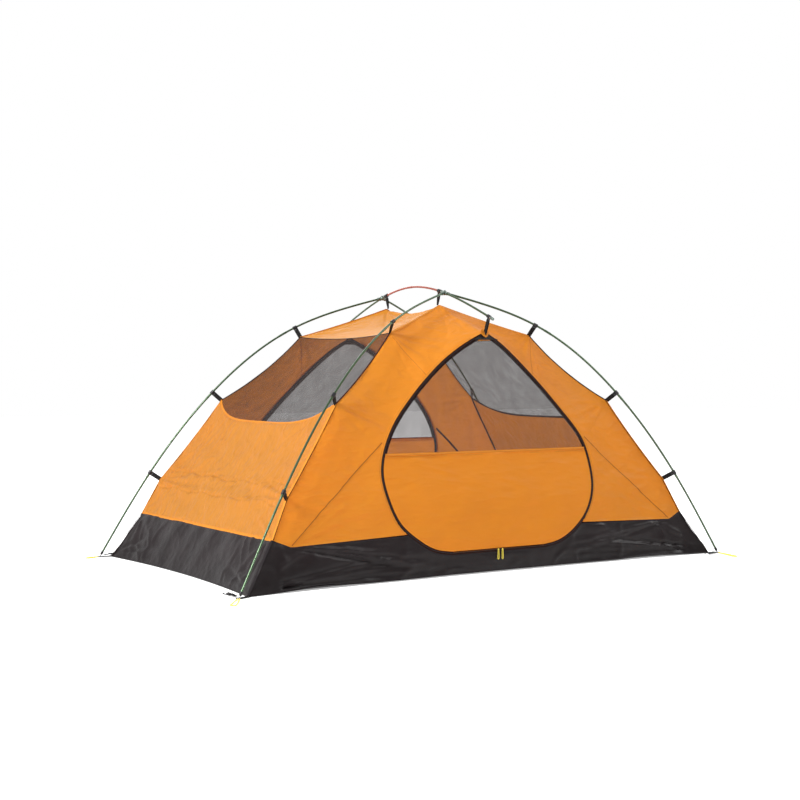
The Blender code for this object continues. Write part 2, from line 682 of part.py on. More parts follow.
def make_tub(finishes):
    """One tray: a flat floor and four sides that rise to the tub line."""
    top_loop, floor_loop = [], []
    for sign_y in (-1, 1):
        top = tub_top_side(sign_y)
        floor = floor_side(top[:, 0] * FLOOR_CORNER[0] / TUB_CORNER[0], sign_y)
        end = end_lines(-sign_y, 9)[0][1:-1]
        ys = np.linspace(-1.0, 1.0, 9)[1:-1]
        end_floor = np.column_stack((-sign_y * (FLOOR_CORNER[0] - FLOOR_END_DRAW * (1 - ys ** 2)),
                                     FLOOR_CORNER[1] * ys, np.zeros(len(ys))))
        if sign_y < 0:
            top_loop += [*top, *end]
            floor_loop += [*floor, *end_floor]
        else:
            top_loop += [*top[::-1], *end[::-1]]
            floor_loop += [*floor[::-1], *end_floor[::-1]]
    top_loop, floor_loop = np.array(top_loop), np.array(floor_loop)
    lift = np.array((0.0, 0.0, SEAM))
    top_loop = top_loop - lift
    count = len(top_loop)

    shell = bmesh.new()
    rings = []
    for loop in (floor_loop, floor_loop * 0.5 + top_loop * 0.5, top_loop):
        rings.append([shell.verts.new(p) for p in loop])
    for low, high in zip(rings, rings[1:]):
        for k in range(count):
            after = (k + 1) % count
            shell.faces.new((low[k], low[after], high[after], high[k]))
    base = shell.faces.new(list(reversed(rings[0])))
    bmesh.ops.triangulate(shell, faces=[base])
    bmesh.ops.recalc_face_normals(shell, faces=shell.faces)
    mesh = bpy.data.meshes.new("tub_floor")
    shell.to_mesh(mesh)
    shell.free()
    mesh.materials.append(finishes["charcoal_cloth"])
    tub = bpy.data.objects.new("tub_floor", mesh)
    bpy.context.scene.collection.objects.link(tub)
    thicken = tub.modifiers.new("thickness", "SOLIDIFY")
    thicken.thickness = FLOOR_SHEET
    thicken.offset = -1.0
    thicken.use_even_offset = True
    return tub


# -------------------------------------------------------------------- corners
def make_corner(name, sign_x, sign_y, buckle_aim, loop_reach, finishes):
    foot = mirrored(LEG_PATH[0], sign_x, sign_y)
    corner = mirrored(FLOOR_CORNER, sign_x, sign_y)
    foot[2] = corner[2] = 0.0
    inward = Vector(corner - foot)
    placed = frame_at(foot, inward, (0, 0, 1))
    outline = []
    for k in range(13):
        turn = math.pi / 2 + math.pi * k / 12
        outline.append((TAB_END_RADIUS * math.cos(turn), TAB_END_RADIUS * math.sin(turn)))
    outline.append((inward.length - SEAM, -TAB_WIDTH / 2))
    outline.append((inward.length - SEAM, TAB_WIDTH / 2))
    tab = prism("corner_tab_" + name, outline, *TAB_Z, finishes["black_webbing"], placed)
    hole = cylinder("corner_hole_" + name, Vector(foot) - Vector((0.0, 0.0, 0.01)),
                    Vector(foot) + Vector((0.0, 0.0, 0.02)), TAB_HOLE)
    add_boolean(tab, hole, "DIFFERENCE")

    aim = Vector((*buckle_aim, 0.0)).normalized()
    start = Vector(foot) + aim * BUCKLE_START
    placed = frame_at(start, aim, (0, 0, 1))
    half, strap = BUCKLE_WIDTH / 2, TAB_WIDTH / 2 - 0.002
    neck = BUCKLE_STRAP - BUCKLE_START
    shoulder, end = neck + BUCKLE_BODY, neck + BUCKLE_BODY + BUCKLE_PRONG
    hook, point, bevel = BUCKLE_TIP
    tongue, shorter = BUCKLE_TONGUE
    prong = -half + BUCKLE_PRONG_WIDTH
    right = [(0.0, -strap), (neck, -strap), (neck, -half), (shoulder, -half),
             (end - hook, -half), (end - point, -half + bevel), (end - hook, prong),
             (shoulder, prong), (shoulder, -tongue), (end - shorter, -tongue)]
    outline = right + [(x, -y) for x, y in reversed(right)]
    prism("fly_buckle_" + name, outline, *BUCKLE_Z, finishes["black_plastic"], placed)

    tube("peg_loop_" + name, peg_route(foot, loop_reach), PEG_CORD_RADIUS, finishes["yellow_cord"])


def peg_route(foot, reach):
    """A loop of cord that runs out over the ground from the tab and back to it."""
    reach = Vector((*reach, 0.0))
    out = reach.normalized()
    side = Vector((-out.y, out.x, 0.0))
    start = Vector(foot) + out * (TAB_END_RADIUS + 0.0025)
    ground = Vector((0, 0, PEG_CORD_RADIUS + 0.0004))
    run = reach.length - TAB_END_RADIUS - PEG_LOOP_HALF_WIDTH
    points = []
    for t, w in ((0.0, 0.35), (0.15, 0.45), (0.35, 0.75), (0.6, 0.95), (0.85, 1.0)):
        points.append(start + out * run * t + side * PEG_LOOP_HALF_WIDTH * w)
    tip = start + out * run
    turn_back = [math.radians(a) for a in (60, 30, 0, -30, -60)]
    points += [tip + (out * math.cos(a) + side * math.sin(a)) * PEG_LOOP_HALF_WIDTH
               for a in turn_back]
    for t, w in ((0.85, 1.0), (0.6, 0.9), (0.35, 0.7), (0.15, 0.45), (0.0, 0.35)):
        points.append(start + out * run * t - side * PEG_LOOP_HALF_WIDTH * w)
    return smooth_curve([p + ground for p in points], 44)


def main():
    for old in list(bpy.data.objects):
        bpy.data.objects.remove(old)
    finishes = make_materials()
    make_poles(finishes)
    for side, sign_y in SIDES.items():
        make_hub(side, sign_y, finishes)
    make_clips(finishes)
    make_tub(finishes)
    make_ends(finishes)
    make_roof(finishes)
    make_doors_and_walls(finishes)
    for name, corner in CORNERS.items():
        make_corner(name, *corner, finishes)


main()
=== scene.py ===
"""Two-person backpacking tent without its outer fly: its looks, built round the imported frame.

Metres, in the frame's own axes: X along the tent, -Y towards the front door, +Z up. Every sheet
of cloth is one fine grid between its sewn edges, pulled into tension creases by code. Straps,
seams, zips and cords are swept along the same lines that the frame's solids follow.
"""
import math

import bmesh
import bpy
import numpy as np
from mathutils import Matrix, Vector
from mathutils.bvhtree import BVHTree


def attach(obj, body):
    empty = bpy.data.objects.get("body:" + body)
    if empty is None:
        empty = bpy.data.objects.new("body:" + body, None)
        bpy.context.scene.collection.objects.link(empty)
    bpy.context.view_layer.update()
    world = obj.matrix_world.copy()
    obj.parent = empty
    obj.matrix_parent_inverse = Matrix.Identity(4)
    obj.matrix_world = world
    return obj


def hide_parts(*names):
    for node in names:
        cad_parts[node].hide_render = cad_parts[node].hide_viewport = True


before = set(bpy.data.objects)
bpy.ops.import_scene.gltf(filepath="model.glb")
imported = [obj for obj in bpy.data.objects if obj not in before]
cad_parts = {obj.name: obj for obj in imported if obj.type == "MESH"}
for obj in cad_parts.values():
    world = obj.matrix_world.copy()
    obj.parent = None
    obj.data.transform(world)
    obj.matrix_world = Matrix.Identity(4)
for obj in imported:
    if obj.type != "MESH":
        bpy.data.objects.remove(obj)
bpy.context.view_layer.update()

# ------------------------------------------------- the frame's dimensions, as the part has them
POLE_RADIUS = 0.00425
LEG_PATH = ((1.140, 0.657, 0.0035), (0.937, 0.600, 0.353), (0.690, 0.518, 0.687),
            (0.354, 0.397, 0.969), (0.0, 0.239, 1.102))
HUB = (0.0, 0.239, 1.102)
RIDGE_TOP = (0.0, 0.0, 1.138)
BROW_TIP = (0.0, 0.571, 0.983)
FLOOR_CORNER = (1.100, 0.643, 0.0)
TUB_CORNER = (0.979, 0.590, 0.183)
TUB_KINK = (0.910, 0.602, 0.155)
FOLD_LOW = (0.907, 0.563, 0.325)
FOLD_MID = (0.660, 0.485, 0.657)
FOLD_HIGH = (0.343, 0.361, 0.928)
ROOF_PEAK = (0.0, 0.205, 1.051)
DOOR_APEX = (0.0, 0.519, 0.925)
FLOOR_SIDE_DRAW = 0.035
FLOOR_END_DRAW = 0.038
FOLD_SAGS = (0.0, 0.005, 0.018, 0.004)
ROOF_EDGE_SAG = 0.015
WINDOW_DIP = 0.079
WINDOW_BOTTOM_X = 0.712
TUB_END_X = 0.976
DOOR_PATH = ((0.220, 0.616, 0.088), (0.300, 0.616, 0.102), (0.387, 0.614, 0.150),
             (0.444, 0.605, 0.200), (0.493, 0.590, 0.300), (0.503, 0.561, 0.400),
             (0.475, 0.544, 0.500), (0.406, 0.518, 0.600), (0.312, 0.503, 0.700),
             (0.178, 0.497, 0.820), (0.058, 0.512, 0.900), (0.006, 0.518, 0.926))
DOOR_HALF_LINE = 0.466
DOOR_BELLY = 0.006
BELLY_RISE = 0.15
ZIP_EDGE = 0.0065         # from the zip's middle to the cloth on each side
WALL_START_Z = 0.170
TUB_DOOR_Z = 0.168
WALL_KINK = 0.87
WALL_FADE = 0.3
SLIDER_X = 0.010
SLIDER_SIZE = (0.014, 0.004, 0.008)
SLIDER_FACE = 0.616 + 0.0015 + 0.0005
PULL_LENGTH = 0.040
PULL_WIDTH = 0.008
PULL_CORD = 0.002
PULL_GAP = 0.0006
CLIP_BORE = 0.0047
CLIP_WALL = 0.0030
CLIP_WIDTH = 0.0185
CLIP_JAW_END = math.radians(290)
CLIP_END_ROOM = 3
HUB_ARM = 0.022
HUB_ARM_RADIUS = 0.0066
HUB_BALL_RADIUS = 0.0105
POLE_PLUG_START = 0.0125
TAB_WIDTH = 0.020
TAB_HOLE = 0.0065
TAB_END_RADIUS = 0.012
BUCKLE_STRAP = 0.055
BUCKLE_START = 0.020
BUCKLE_WIDTH = 0.024
BUCKLE_BODY = 0.018
BUCKLE_PRONG = 0.030
PEG_CORD_RADIUS = 0.0020
PEG_LOOP_HALF_WIDTH = 0.009
CORNERS = {
    "front_left": (-1, -1, (-0.03, 1.0), (-0.085, -0.125)),
    "front_right": (1, -1, (-1.0, -0.36), (-0.035, -0.140)),
    "rear_left": (-1, 1, (1.0, 0.36), (-0.066, -0.026)),
    "rear_right": (1, 1, (0.03, -1.0), (0.095, 0.055)),
}
SIDES = {"front": -1, "rear": 1}
ENDS = {"left": -1, "right": 1}
INSIDE = np.array((0.0, 0.0, 0.35))
UP = Vector((0.0, 0.0, 1.0))
XZ, YZ, XY = np.array((1.0, 0.0, 1.0)), np.array((0.0, 1.0, 1.0)), np.array((1.0, 1.0, 0.0))

# ------------------------------------------------------------------------- dimensions of the looks
NET_TOP = 0.912           # the door's net and its tape end below the hinge and the patch over it
PAINTED_SHADE_LOW = 0.898        # lowest point of the dark sheet inside a door's apex: painted shade under the brow
PAINTED_SHADE_GAP = 0.0045
HEM = 0.008
HEM_OVER_TAPE = 0.0015    # how far a hem laps over the zip's tape
SEAM_WIDTH = 0.009
WALL_SEAM_WIDTH = 0.0036
BINDING_WIDTH = 0.008
INNER_TAPE = 0.009
INNER_GAP = 0.0030        # how far inside the cloth an inner binding's middle lies
SEAM_THICK = 0.0009
TAPE_WIDTH = 0.0064
TAPE_THICK = 0.0007
COIL_RADIUS = 0.0015
COIL_PITCH = 0.0032
WEBBING = 0.0150
STRAP_WIDTH = 0.0178      # a clip's strap, where it is pulled flat between its hook and the cloth
WEBBING_THICK = 0.0011
WEAVE = 0.0011            # pitch of the cloth's threads
NET = 0.0016              # pitch of the mosquito net
POLE_JOINTS = (0.26, 0.51, 0.76)    # where a leg's sections meet, as shares of its length
PUCKER_FADE = 0.02

# ------------------------------------------------------------------------------ camera and studio
LENS = 62.63              # millimetres, over a sensor 36 wide
SENSOR = 36.0
CAMERA_PLACE = (-3.2515, -4.9380, 0.7641)
CAMERA_TILT = math.radians(88.98)
CAMERA_TURN = math.radians(-32.86)
LIGHT_TARGET = (0.0, 0.0, 0.4)
LIGHTS = (("key", (-4.4, -1.0, 3.0), 1.2, 300.0),    # name, place, size, watts
          ("side", (3.6, -2.4, 3.4), 1.6, 100.0),
          ("back", (1.5, 4.5, 3.0), 2.5, 70.0))
# the white surround dims towards -Y: where the change begins and ends, and the two strengths
SKY_FADE = (("From Min", -0.85), ("From Max", -0.05), ("To Min", 0.30), ("To Max", 1.0))
FLOOR_GLOW = 0.40
FLOOR_REACH = 20.0
FLOOR_DROP = 0.0004       # the floor lies this far below the frame's ground, clear of the cloth


# ------------------------------------------------------------------------------------------ curves
def mirrored(point, sign_x, sign_y):
    return np.array((point[0] * sign_x, point[1] * sign_y, point[2]))


def arc_lengths(points):
    steps = np.linalg.norm(np.diff(points, axis=0), axis=1)
    return np.concatenate(([0.0], np.cumsum(steps)))


def resample(points, count):
    """Points spaced evenly along a polyline."""
    points = np.asarray(points, float)
    along = arc_lengths(points)
    wanted = np.linspace(0.0, along[-1], count)
    return np.column_stack([np.interp(wanted, along, points[:, axis]) for axis in range(3)])


def at_lengths(points, wanted):
    along = arc_lengths(points)
    return np.column_stack([np.interp(wanted, along, points[:, axis]) for axis in range(3)])


def smooth_curve(points, count, fine_count=400):
    """Points along the natural cubic spline through the given points."""
    points = np.asarray(points, float)
    knots = arc_lengths(points)
    step = np.diff(knots)
    size = len(points)
    system = np.eye(size)
    right = np.zeros((size, 3))
    for i in range(1, size - 1):
        system[i, i - 1:i + 2] = (step[i - 1], 2 * (step[i - 1] + step[i]), step[i])
        slope_after = (points[i + 1] - points[i]) / step[i]
        slope_before = (points[i] - points[i - 1]) / step[i - 1]
        right[i] = 6 * (slope_after - slope_before)
    bend = np.linalg.solve(system, right)
    fine = []
    for t in np.linspace(0.0, knots[-1], fine_count):
        i = min(int(np.searchsorted(knots, t, side="right")) - 1, size - 2)
        a = (knots[i + 1] - t) / step[i]
        b = 1.0 - a
        cubic = ((a ** 3 - a) * bend[i] + (b ** 3 - b) * bend[i + 1]) * step[i] ** 2 / 6
        fine.append(a * points[i] + b * points[i + 1] + cubic)
    return resample(fine, count)


def sagging_span(start, end, sag, count):
    """A taut edge between two clips, drawn in towards the middle of the tent."""
    start, end = np.asarray(start, float), np.asarray(end, float)
    chord = (end - start) / np.linalg.norm(end - start)
    inward = INSIDE - (start + end) / 2
    inward -= chord * inward.dot(chord)
    inward /= np.linalg.norm(inward)
    t = np.linspace(0.0, 1.0, count)[:, None]
    return start + (end - start) * t + inward * sag * 4 * t * (1 - t)


def fold_edge(sign_x, sign_y, first, last, per_span=33):
    """The corner fold of the cloth, from stop number first to stop number last."""
    stops = (TUB_CORNER, FOLD_LOW, FOLD_MID, FOLD_HIGH, ROOF_PEAK)
    pieces = []
    for i in range(first, last):
        low, high = (mirrored(stop, sign_x, sign_y) for stop in stops[i:i + 2])
        span = sagging_span(low, high, FOLD_SAGS[i], per_span)
        pieces.append(span if i == first else span[1:])
    return np.vstack(pieces)


def door_outline(offset, sign_x, sign_y, count=160):
    """One half of the door's outline, moved outward by offset, bottom to apex."""
    path = smooth_curve(DOOR_PATH, count)
    tangent = np.gradient(path, axis=0)
    out = np.column_stack((tangent[:, 2], np.zeros(len(path)), -tangent[:, 0]))
    out[0] = (0.0, 0.0, -1.0)
    out /= np.linalg.norm(out, axis=1)[:, None]
    moved = path + out * offset
    moved[:, 0] = np.maximum(moved[:, 0], 0.0)
    return moved * np.array((sign_x, sign_y, 1.0))


def door_loop(offset, sign_y):
    """The door's whole outline, from the apex down one side and up the other."""
    right = door_outline(offset, 1, sign_y)
    left = door_outline(offset, -1, sign_y)
    bottom = np.linspace(right[0], left[0], 50)[1:-1]
    return np.vstack((right[::-1], bottom, left))


def cut_at_height(path, height):
    """The part of a rising path above a height, starting exactly on it."""
    above = int(np.argmax(path[:, 2] > height))
    low, high = path[above - 1], path[above]
    t = (height - low[2]) / (high[2] - low[2])
    return np.vstack((low + (high - low) * t, path[above:]))


def coons(bottom, top, left, right):
    """Grid spanned by four edges; left and right run from bottom to top."""
    u = np.linspace(0.0, 1.0, len(left))[:, None, None]
    v = np.linspace(0.0, 1.0, len(bottom))[None, :, None]
    across = left[:, None, :] * (1 - v) + right[:, None, :] * v
    along = bottom[None, :, :] * (1 - u) + top[None, :, :] * u
    corners = ((bottom[0] * (1 - v) + bottom[-1] * v) * (1 - u)
               + (top[0] * (1 - v) + top[-1] * v) * u)
    return across + along - corners


def leg_curve(sign_x, sign_y, count=400):
    """A leg pole's centre line, from the hub down to the ground."""
    return smooth_curve([mirrored(p, sign_x, sign_y) for p in reversed(LEG_PATH)], count)


def ridge_curve(count=400):
    """The ridge pole's centre line, from the front tip to the rear tip."""
    right_half = (BROW_TIP, HUB, RIDGE_TOP)
    front = [mirrored(p, 1, -1) for p in right_half]
    rear = [mirrored(p, 1, 1) for p in right_half[:2]]
    return smooth_curve(front + rear[::-1], count)


def beyond(path, centre, distance, count):
    """The stretch of a path that starts a given distance from a point on it."""
    away = np.linalg.norm(path - np.asarray(centre, float), axis=1)
    return resample(path[int(np.argmax(away > distance)):], count)


def leg_stations(sign_x, sign_y, count=30):
    return beyond(leg_curve(sign_x, sign_y), mirrored(HUB, sign_x, sign_y), POLE_PLUG_START, count)


def brow_stations(sign_y, count=7):
    ridge = ridge_curve()
    outward = ridge if sign_y > 0 else ridge[::-1]
    outward = outward[outward[:, 1] * sign_y > HUB[1]]
    return beyond(outward, mirrored(HUB, 1, sign_y), POLE_PLUG_START, count)


def ridge_stations(count=11):
    ridge = ridge_curve()
    return resample(ridge[np.abs(ridge[:, 1]) < HUB[1] - POLE_PLUG_START], count)


def smooth_step(t):
    t = np.clip(t, 0.0, 1.0)
    return t * t * (3 - 2 * t)


# --------------------------------------------------------------------------------------- materials
def srgb(red, green, blue):
    """A screen colour, 0 to 255, as linear light."""
    parts = [value / 255 for value in (red, green, blue)]
    return tuple(p / 12.92 if p < 0.04 else ((p + 0.055) / 1.055) ** 2.4 for p in parts)


class Finish:
    """A material with a Principled shader, and short ways to drive it from patterns."""

    def __init__(self, name, colour, roughness, metallic=0.0, sheen=0.0, coat=0.0, specular=0.5):
        self.material = bpy.data.materials.new(name)
        self.material.use_nodes = True
        self.tree = self.material.node_tree
        self.shader = self.tree.nodes["Principled BSDF"]
        self.colour = colour
        self.set("Base Color", (*colour, 1.0))
        self.set("Roughness", roughness)
        self.set("Metallic", metallic)
        self.set("Sheen Weight", sheen)
        self.set("Sheen Roughness", 0.4)
        self.set("Coat Weight", coat)
        self.set("Specular IOR Level", specular)
        coordinates = self.tree.nodes.new("ShaderNodeTexCoord")
        self.cloth_place = coordinates.outputs["UV"]
        self.solid_place = coordinates.outputs["Object"]

    def set(self, socket, value):
        self.shader.inputs[socket].default_value = value

    def link(self, value, socket):
        self.tree.links.new(value, socket)

    def math(self, operation, *values):
        made = self.tree.nodes.new("ShaderNodeMath")
        made.operation = operation
        for socket, value in zip(made.inputs, values):
            if isinstance(value, bpy.types.NodeSocket):
                self.link(value, socket)
            else:
                socket.default_value = value
        return made.outputs[0]

    def noise(self, wavelength, detail=2.0, stretch=(1.0, 1.0, 1.0), solid=True):
        place = self.tree.nodes.new("ShaderNodeVectorMath")
        place.operation = "MULTIPLY"
        self.link(self.solid_place if solid else self.cloth_place, place.inputs[0])
        place.inputs[1].default_value = stretch
        made = self.tree.nodes.new("ShaderNodeTexNoise")
        self.link(place.outputs[0], made.inputs["Vector"])
        made.inputs["Scale"].default_value = 1.0 / wavelength
        made.inputs["Detail"].default_value = detail
        return made.outputs[0]

    def crumple(self, wavelength, stretch, height):
        """Sharp little ridges, in metres, drawn out along the axis the stretch squeezes."""
        uneven = self.math("SUBTRACT", self.noise(wavelength, 2.0, stretch), 0.5)
        broad = self.math("MULTIPLY", self.math("ABSOLUTE", uneven), -2.0 * height)
        fine = self.math("SUBTRACT", self.noise(wavelength * 0.4, 2.0, stretch), 0.5)
        return self.math("ADD", broad, self.math("MULTIPLY", self.math("ABSOLUTE", fine), -0.6 * height))

    def raised(self, low, high, least):
        """From least at the height low up to 1 at the height high."""
        apart = self.tree.nodes.new("ShaderNodeSeparateXYZ")
        self.link(self.solid_place, apart.inputs[0])
        rise = self.tree.nodes.new("ShaderNodeMapRange")
        self.link(apart.outputs[2], rise.inputs["Value"])
        for socket, value in (("From Min", low), ("From Max", high), ("To Min", least)):
            rise.inputs[socket].default_value = value
        return rise.outputs[0]

    def cloth_axes(self):
        apart = self.tree.nodes.new("ShaderNodeSeparateXYZ")
        self.link(self.cloth_place, apart.inputs[0])
        return apart.outputs[0], apart.outputs[1]

    def wave(self, value, pitch):
        return self.math("SINE", self.math("MULTIPLY", value, 2 * math.pi / pitch))

    def weave(self, pitch):
        """Over and under: +1 and -1 in turn, along both thread directions."""
        u, v = self.cloth_axes()
        return self.math("MULTIPLY", self.wave(u, pitch), self.wave(v, pitch))

    def ribs(self, pitch):
        u, v = self.cloth_axes()
        slanted = self.math("ADD", u, self.math("MULTIPLY", v, 0.5))
        return self.math("MULTIPLY", self.wave(slanted, pitch), self.wave(v, pitch))

    def braid(self, pitch):
        u, v = self.cloth_axes()
        left = self.wave(self.math("ADD", u, v), pitch)
        right = self.wave(self.math("SUBTRACT", u, v), pitch)
        return self.math("MULTIPLY", left, right)

    def stitches(self, pitch=0.0042, length=0.6, width=0.0007, inset=0.0026):
        """1 on two rows of stitches along the middle of a strip, 0 elsewhere."""
        u, v = self.cloth_axes()
        beat = self.math("FRACT", self.math("DIVIDE", u, pitch))
        on = self.math("LESS_THAN", beat, length)
        off_row = self.math("ABSOLUTE", self.math("SUBTRACT", self.math("ABSOLUTE", v), inset))
        return self.math("MULTIPLY", on, self.math("LESS_THAN", off_row, width))

    def blend_colours(self, share, first, second):
        mix = self.tree.nodes.new("ShaderNodeMix")
        mix.data_type = "RGBA"
        for socket, value in ((mix.inputs[0], share), (mix.inputs[6], first), (mix.inputs[7], second)):
            if isinstance(value, bpy.types.NodeSocket):
                self.link(value, socket)
            else:
                socket.default_value = (*value, 1.0)
        return mix.outputs[2]

    def vary(self, share, darker=0.85, lighter=1.1):
        """The base colour moves between a darker and a lighter tone."""
        dark = tuple(min(1.0, part * darker) for part in self.colour)
        light = tuple(min(1.0, part * lighter) for part in self.colour)
        self.varied = self.blend_colours(share, dark, light)
        self.link(self.varied, self.shader.inputs["Base Color"])
        return self

    def dull(self, share, low, high):
        """The roughness moves between two values."""
        spread = self.math("MULTIPLY", share, high - low)
        self.link(self.math("ADD", spread, low), self.shader.inputs["Roughness"])
        return self

    def bump(self, height, distance, strength=1.0, *others):
        made = self.tree.nodes.new("ShaderNodeBump")
        made.inputs["Distance"].default_value = distance
        made.inputs["Strength"].default_value = strength
        self.link(height, made.inputs["Height"])
        self.link(made.outputs[0], self.shader.inputs["Normal"])
        for other in others:
            self.link(made.outputs[0], other.inputs["Normal"])
        return self

    def glow(self, colour, share):
        """Lets light through, as thin cloth does."""
        through = self.tree.nodes.new("ShaderNodeBsdfTranslucent")
        through.inputs[0].default_value = (*colour, 1.0)
        mix = self.tree.nodes.new("ShaderNodeMixShader")
        mix.inputs[0].default_value = share
        self.link(self.shader.outputs[0], mix.inputs[1])
        self.link(through.outputs[0], mix.inputs[2])
        self.link(mix.outputs[0], self.tree.nodes["Material Output"].inputs["Surface"])
        return through


ORANGE = srgb(224, 142, 40)
ORANGE_THROUGH = srgb(250, 152, 48)


def cloth_finish(name, colour, drape, roughness=0.52, share=0.42):
    """Thin woven polyester: fine weave, little creases, and it glows against the light."""
    made = Finish(name, colour, roughness, sheen=0.05, specular=0.2)
    made.vary(made.noise(0.11, 3.0), 0.93, 1.06)
    glow = made.glow(ORANGE_THROUGH, share)
    slubs = made.noise(0.004, 2.0, (1.0, 0.12, 1.0), solid=False)
    threads = made.math("MULTIPLY", made.math("ADD", made.weave(WEAVE), slubs), 0.00005)
    made.bump(made.math("ADD", threads, made.crumple(*drape)), 1.0, 1.0, glow)
    made.dull(made.noise(0.03), roughness - 0.06, roughness + 0.08)
    return made.material


def stitched_finish(name, colour, thread, share=0.15):
    """A folded seam or hem, with two rows of stitches along it."""
    made = Finish(name, colour, 0.6, sheen=0.03, specular=0.2)
    made.vary(made.noise(0.02, 3.0), 0.88, 1.06)
    stitch = made.stitches()
    made.link(made.blend_colours(stitch, made.varied, thread), made.shader.inputs["Base Color"])
    glow = made.glow(colour, share)
    height = made.math("SUBTRACT", made.math("MULTIPLY", made.weave(WEAVE), 0.2), stitch)
    made.bump(height, 0.0002, 0.8, glow)
    made.dull(made.noise(0.01), 0.5, 0.7)
    return made.material


def net_finish(name, cover, colour=srgb(78, 72, 71)):
    """Fine mosquito net: threads with holes between them."""
    made = Finish(name, colour, 0.8, specular=0.1)
    made.vary(made.noise(0.08, 2.0), 0.9, 1.1)
    net = made.weave(NET)
    streaks = made.noise(0.05, 2.0, (1.0, 1.0, 0.35))
    drawn = made.math("MULTIPLY", made.math("SUBTRACT", streaks, 0.5), 0.22)
    thread = made.math("ADD", made.math("MULTIPLY", net, 0.22), made.math("ADD", drawn, cover))
    made.link(made.math("MINIMUM", thread, 1.0), made.shader.inputs["Alpha"])
    made.bump(net, 0.0002, 0.5)
    return made.material


def groundsheet_finish():
    """Coated charcoal cloth with fine creases along its sides, and painted shade that darkens it near
    the ground.
    """
    made = Finish("groundsheet", srgb(24, 18, 19), 0.42, specular=0.17)
    mottle = made.noise(0.09, 4.0, (0.4, 1.0, 1.0))
    # painted shade: the mottle's share is scaled down to 0.45 at 0.02 m above the ground, so the cloth
    # darkens low down
    made.vary(made.math("MULTIPLY", mottle, made.raised(0.02, 0.11, 0.45)), 0.55, 1.75)
    grain = made.math("ADD", made.math("MULTIPLY", made.weave(WEAVE), 0.4), made.noise(0.006, 3.0))
    grain = made.math("MULTIPLY", grain, 0.0001)
    made.bump(made.math("ADD", grain, made.crumple(0.12, (0.20, 1.0, 1.0), 0.0055)), 1.0)
    made.dull(made.noise(0.025, 3.0), 0.32, 0.46)
    return made.material


def webbing_finish(name, colour):
    """Woven strap, ribbed across."""
    made = Finish(name, colour, 0.65, specular=0.15)
    made.vary(made.noise(0.012, 3.0), 0.75, 1.35)
    made.bump(made.ribs(0.0018), 0.0003, 0.9)
    made.dull(made.noise(0.004), 0.55, 0.8)
    return made.material


def plastic_finish(name, colour, roughness=0.38):
    """Moulded plastic with a fine grain."""
    made = Finish(name, colour, roughness, specular=0.35)
    made.vary(made.noise(0.02, 3.0), 0.85, 1.2)
    made.bump(made.noise(0.0012, 2.0), 0.00006, 0.6)
    made.dull(made.noise(0.008, 3.0), roughness - 0.08, roughness + 0.14)
    return made.material


def anodised_finish(name, colour, roughness=0.3, metallic=0.75):
    """Drawn aluminium tube: faint lines along it, and a tone that varies at random."""
    made = Finish(name, colour, roughness, metallic=metallic, coat=0.15)
    drawn = made.noise(0.0012, 3.0, (0.03, 1.0, 1.0), solid=False)
    made.vary(made.noise(0.05, 3.0), 0.85, 1.2)
    made.bump(drawn, 0.00005, 0.4)
    made.dull(drawn, roughness - 0.06, roughness + 0.12)
    return made.material


def cord_finish(name, colour):
    """Braided cord."""
    made = Finish(name, colour, 0.6, sheen=0.1, specular=0.3)
    braid = made.braid(0.0016)
    made.vary(made.math("ADD", made.math("MULTIPLY", braid, 0.5), 0.5), 0.8, 1.08)
    made.bump(braid, 0.0002, 0.8)
    made.dull(made.noise(0.004), 0.5, 0.7)
    return made.material


def tape_finish(name, colour):
    """The zip's woven tape."""
    made = Finish(name, colour, 0.6, sheen=0.0, specular=0.1)
    made.vary(made.noise(0.01, 3.0), 0.8, 1.25)
    made.bump(made.ribs(0.0012), 0.0002, 0.7)
    made.dull(made.noise(0.003), 0.5, 0.72)
    return made.material


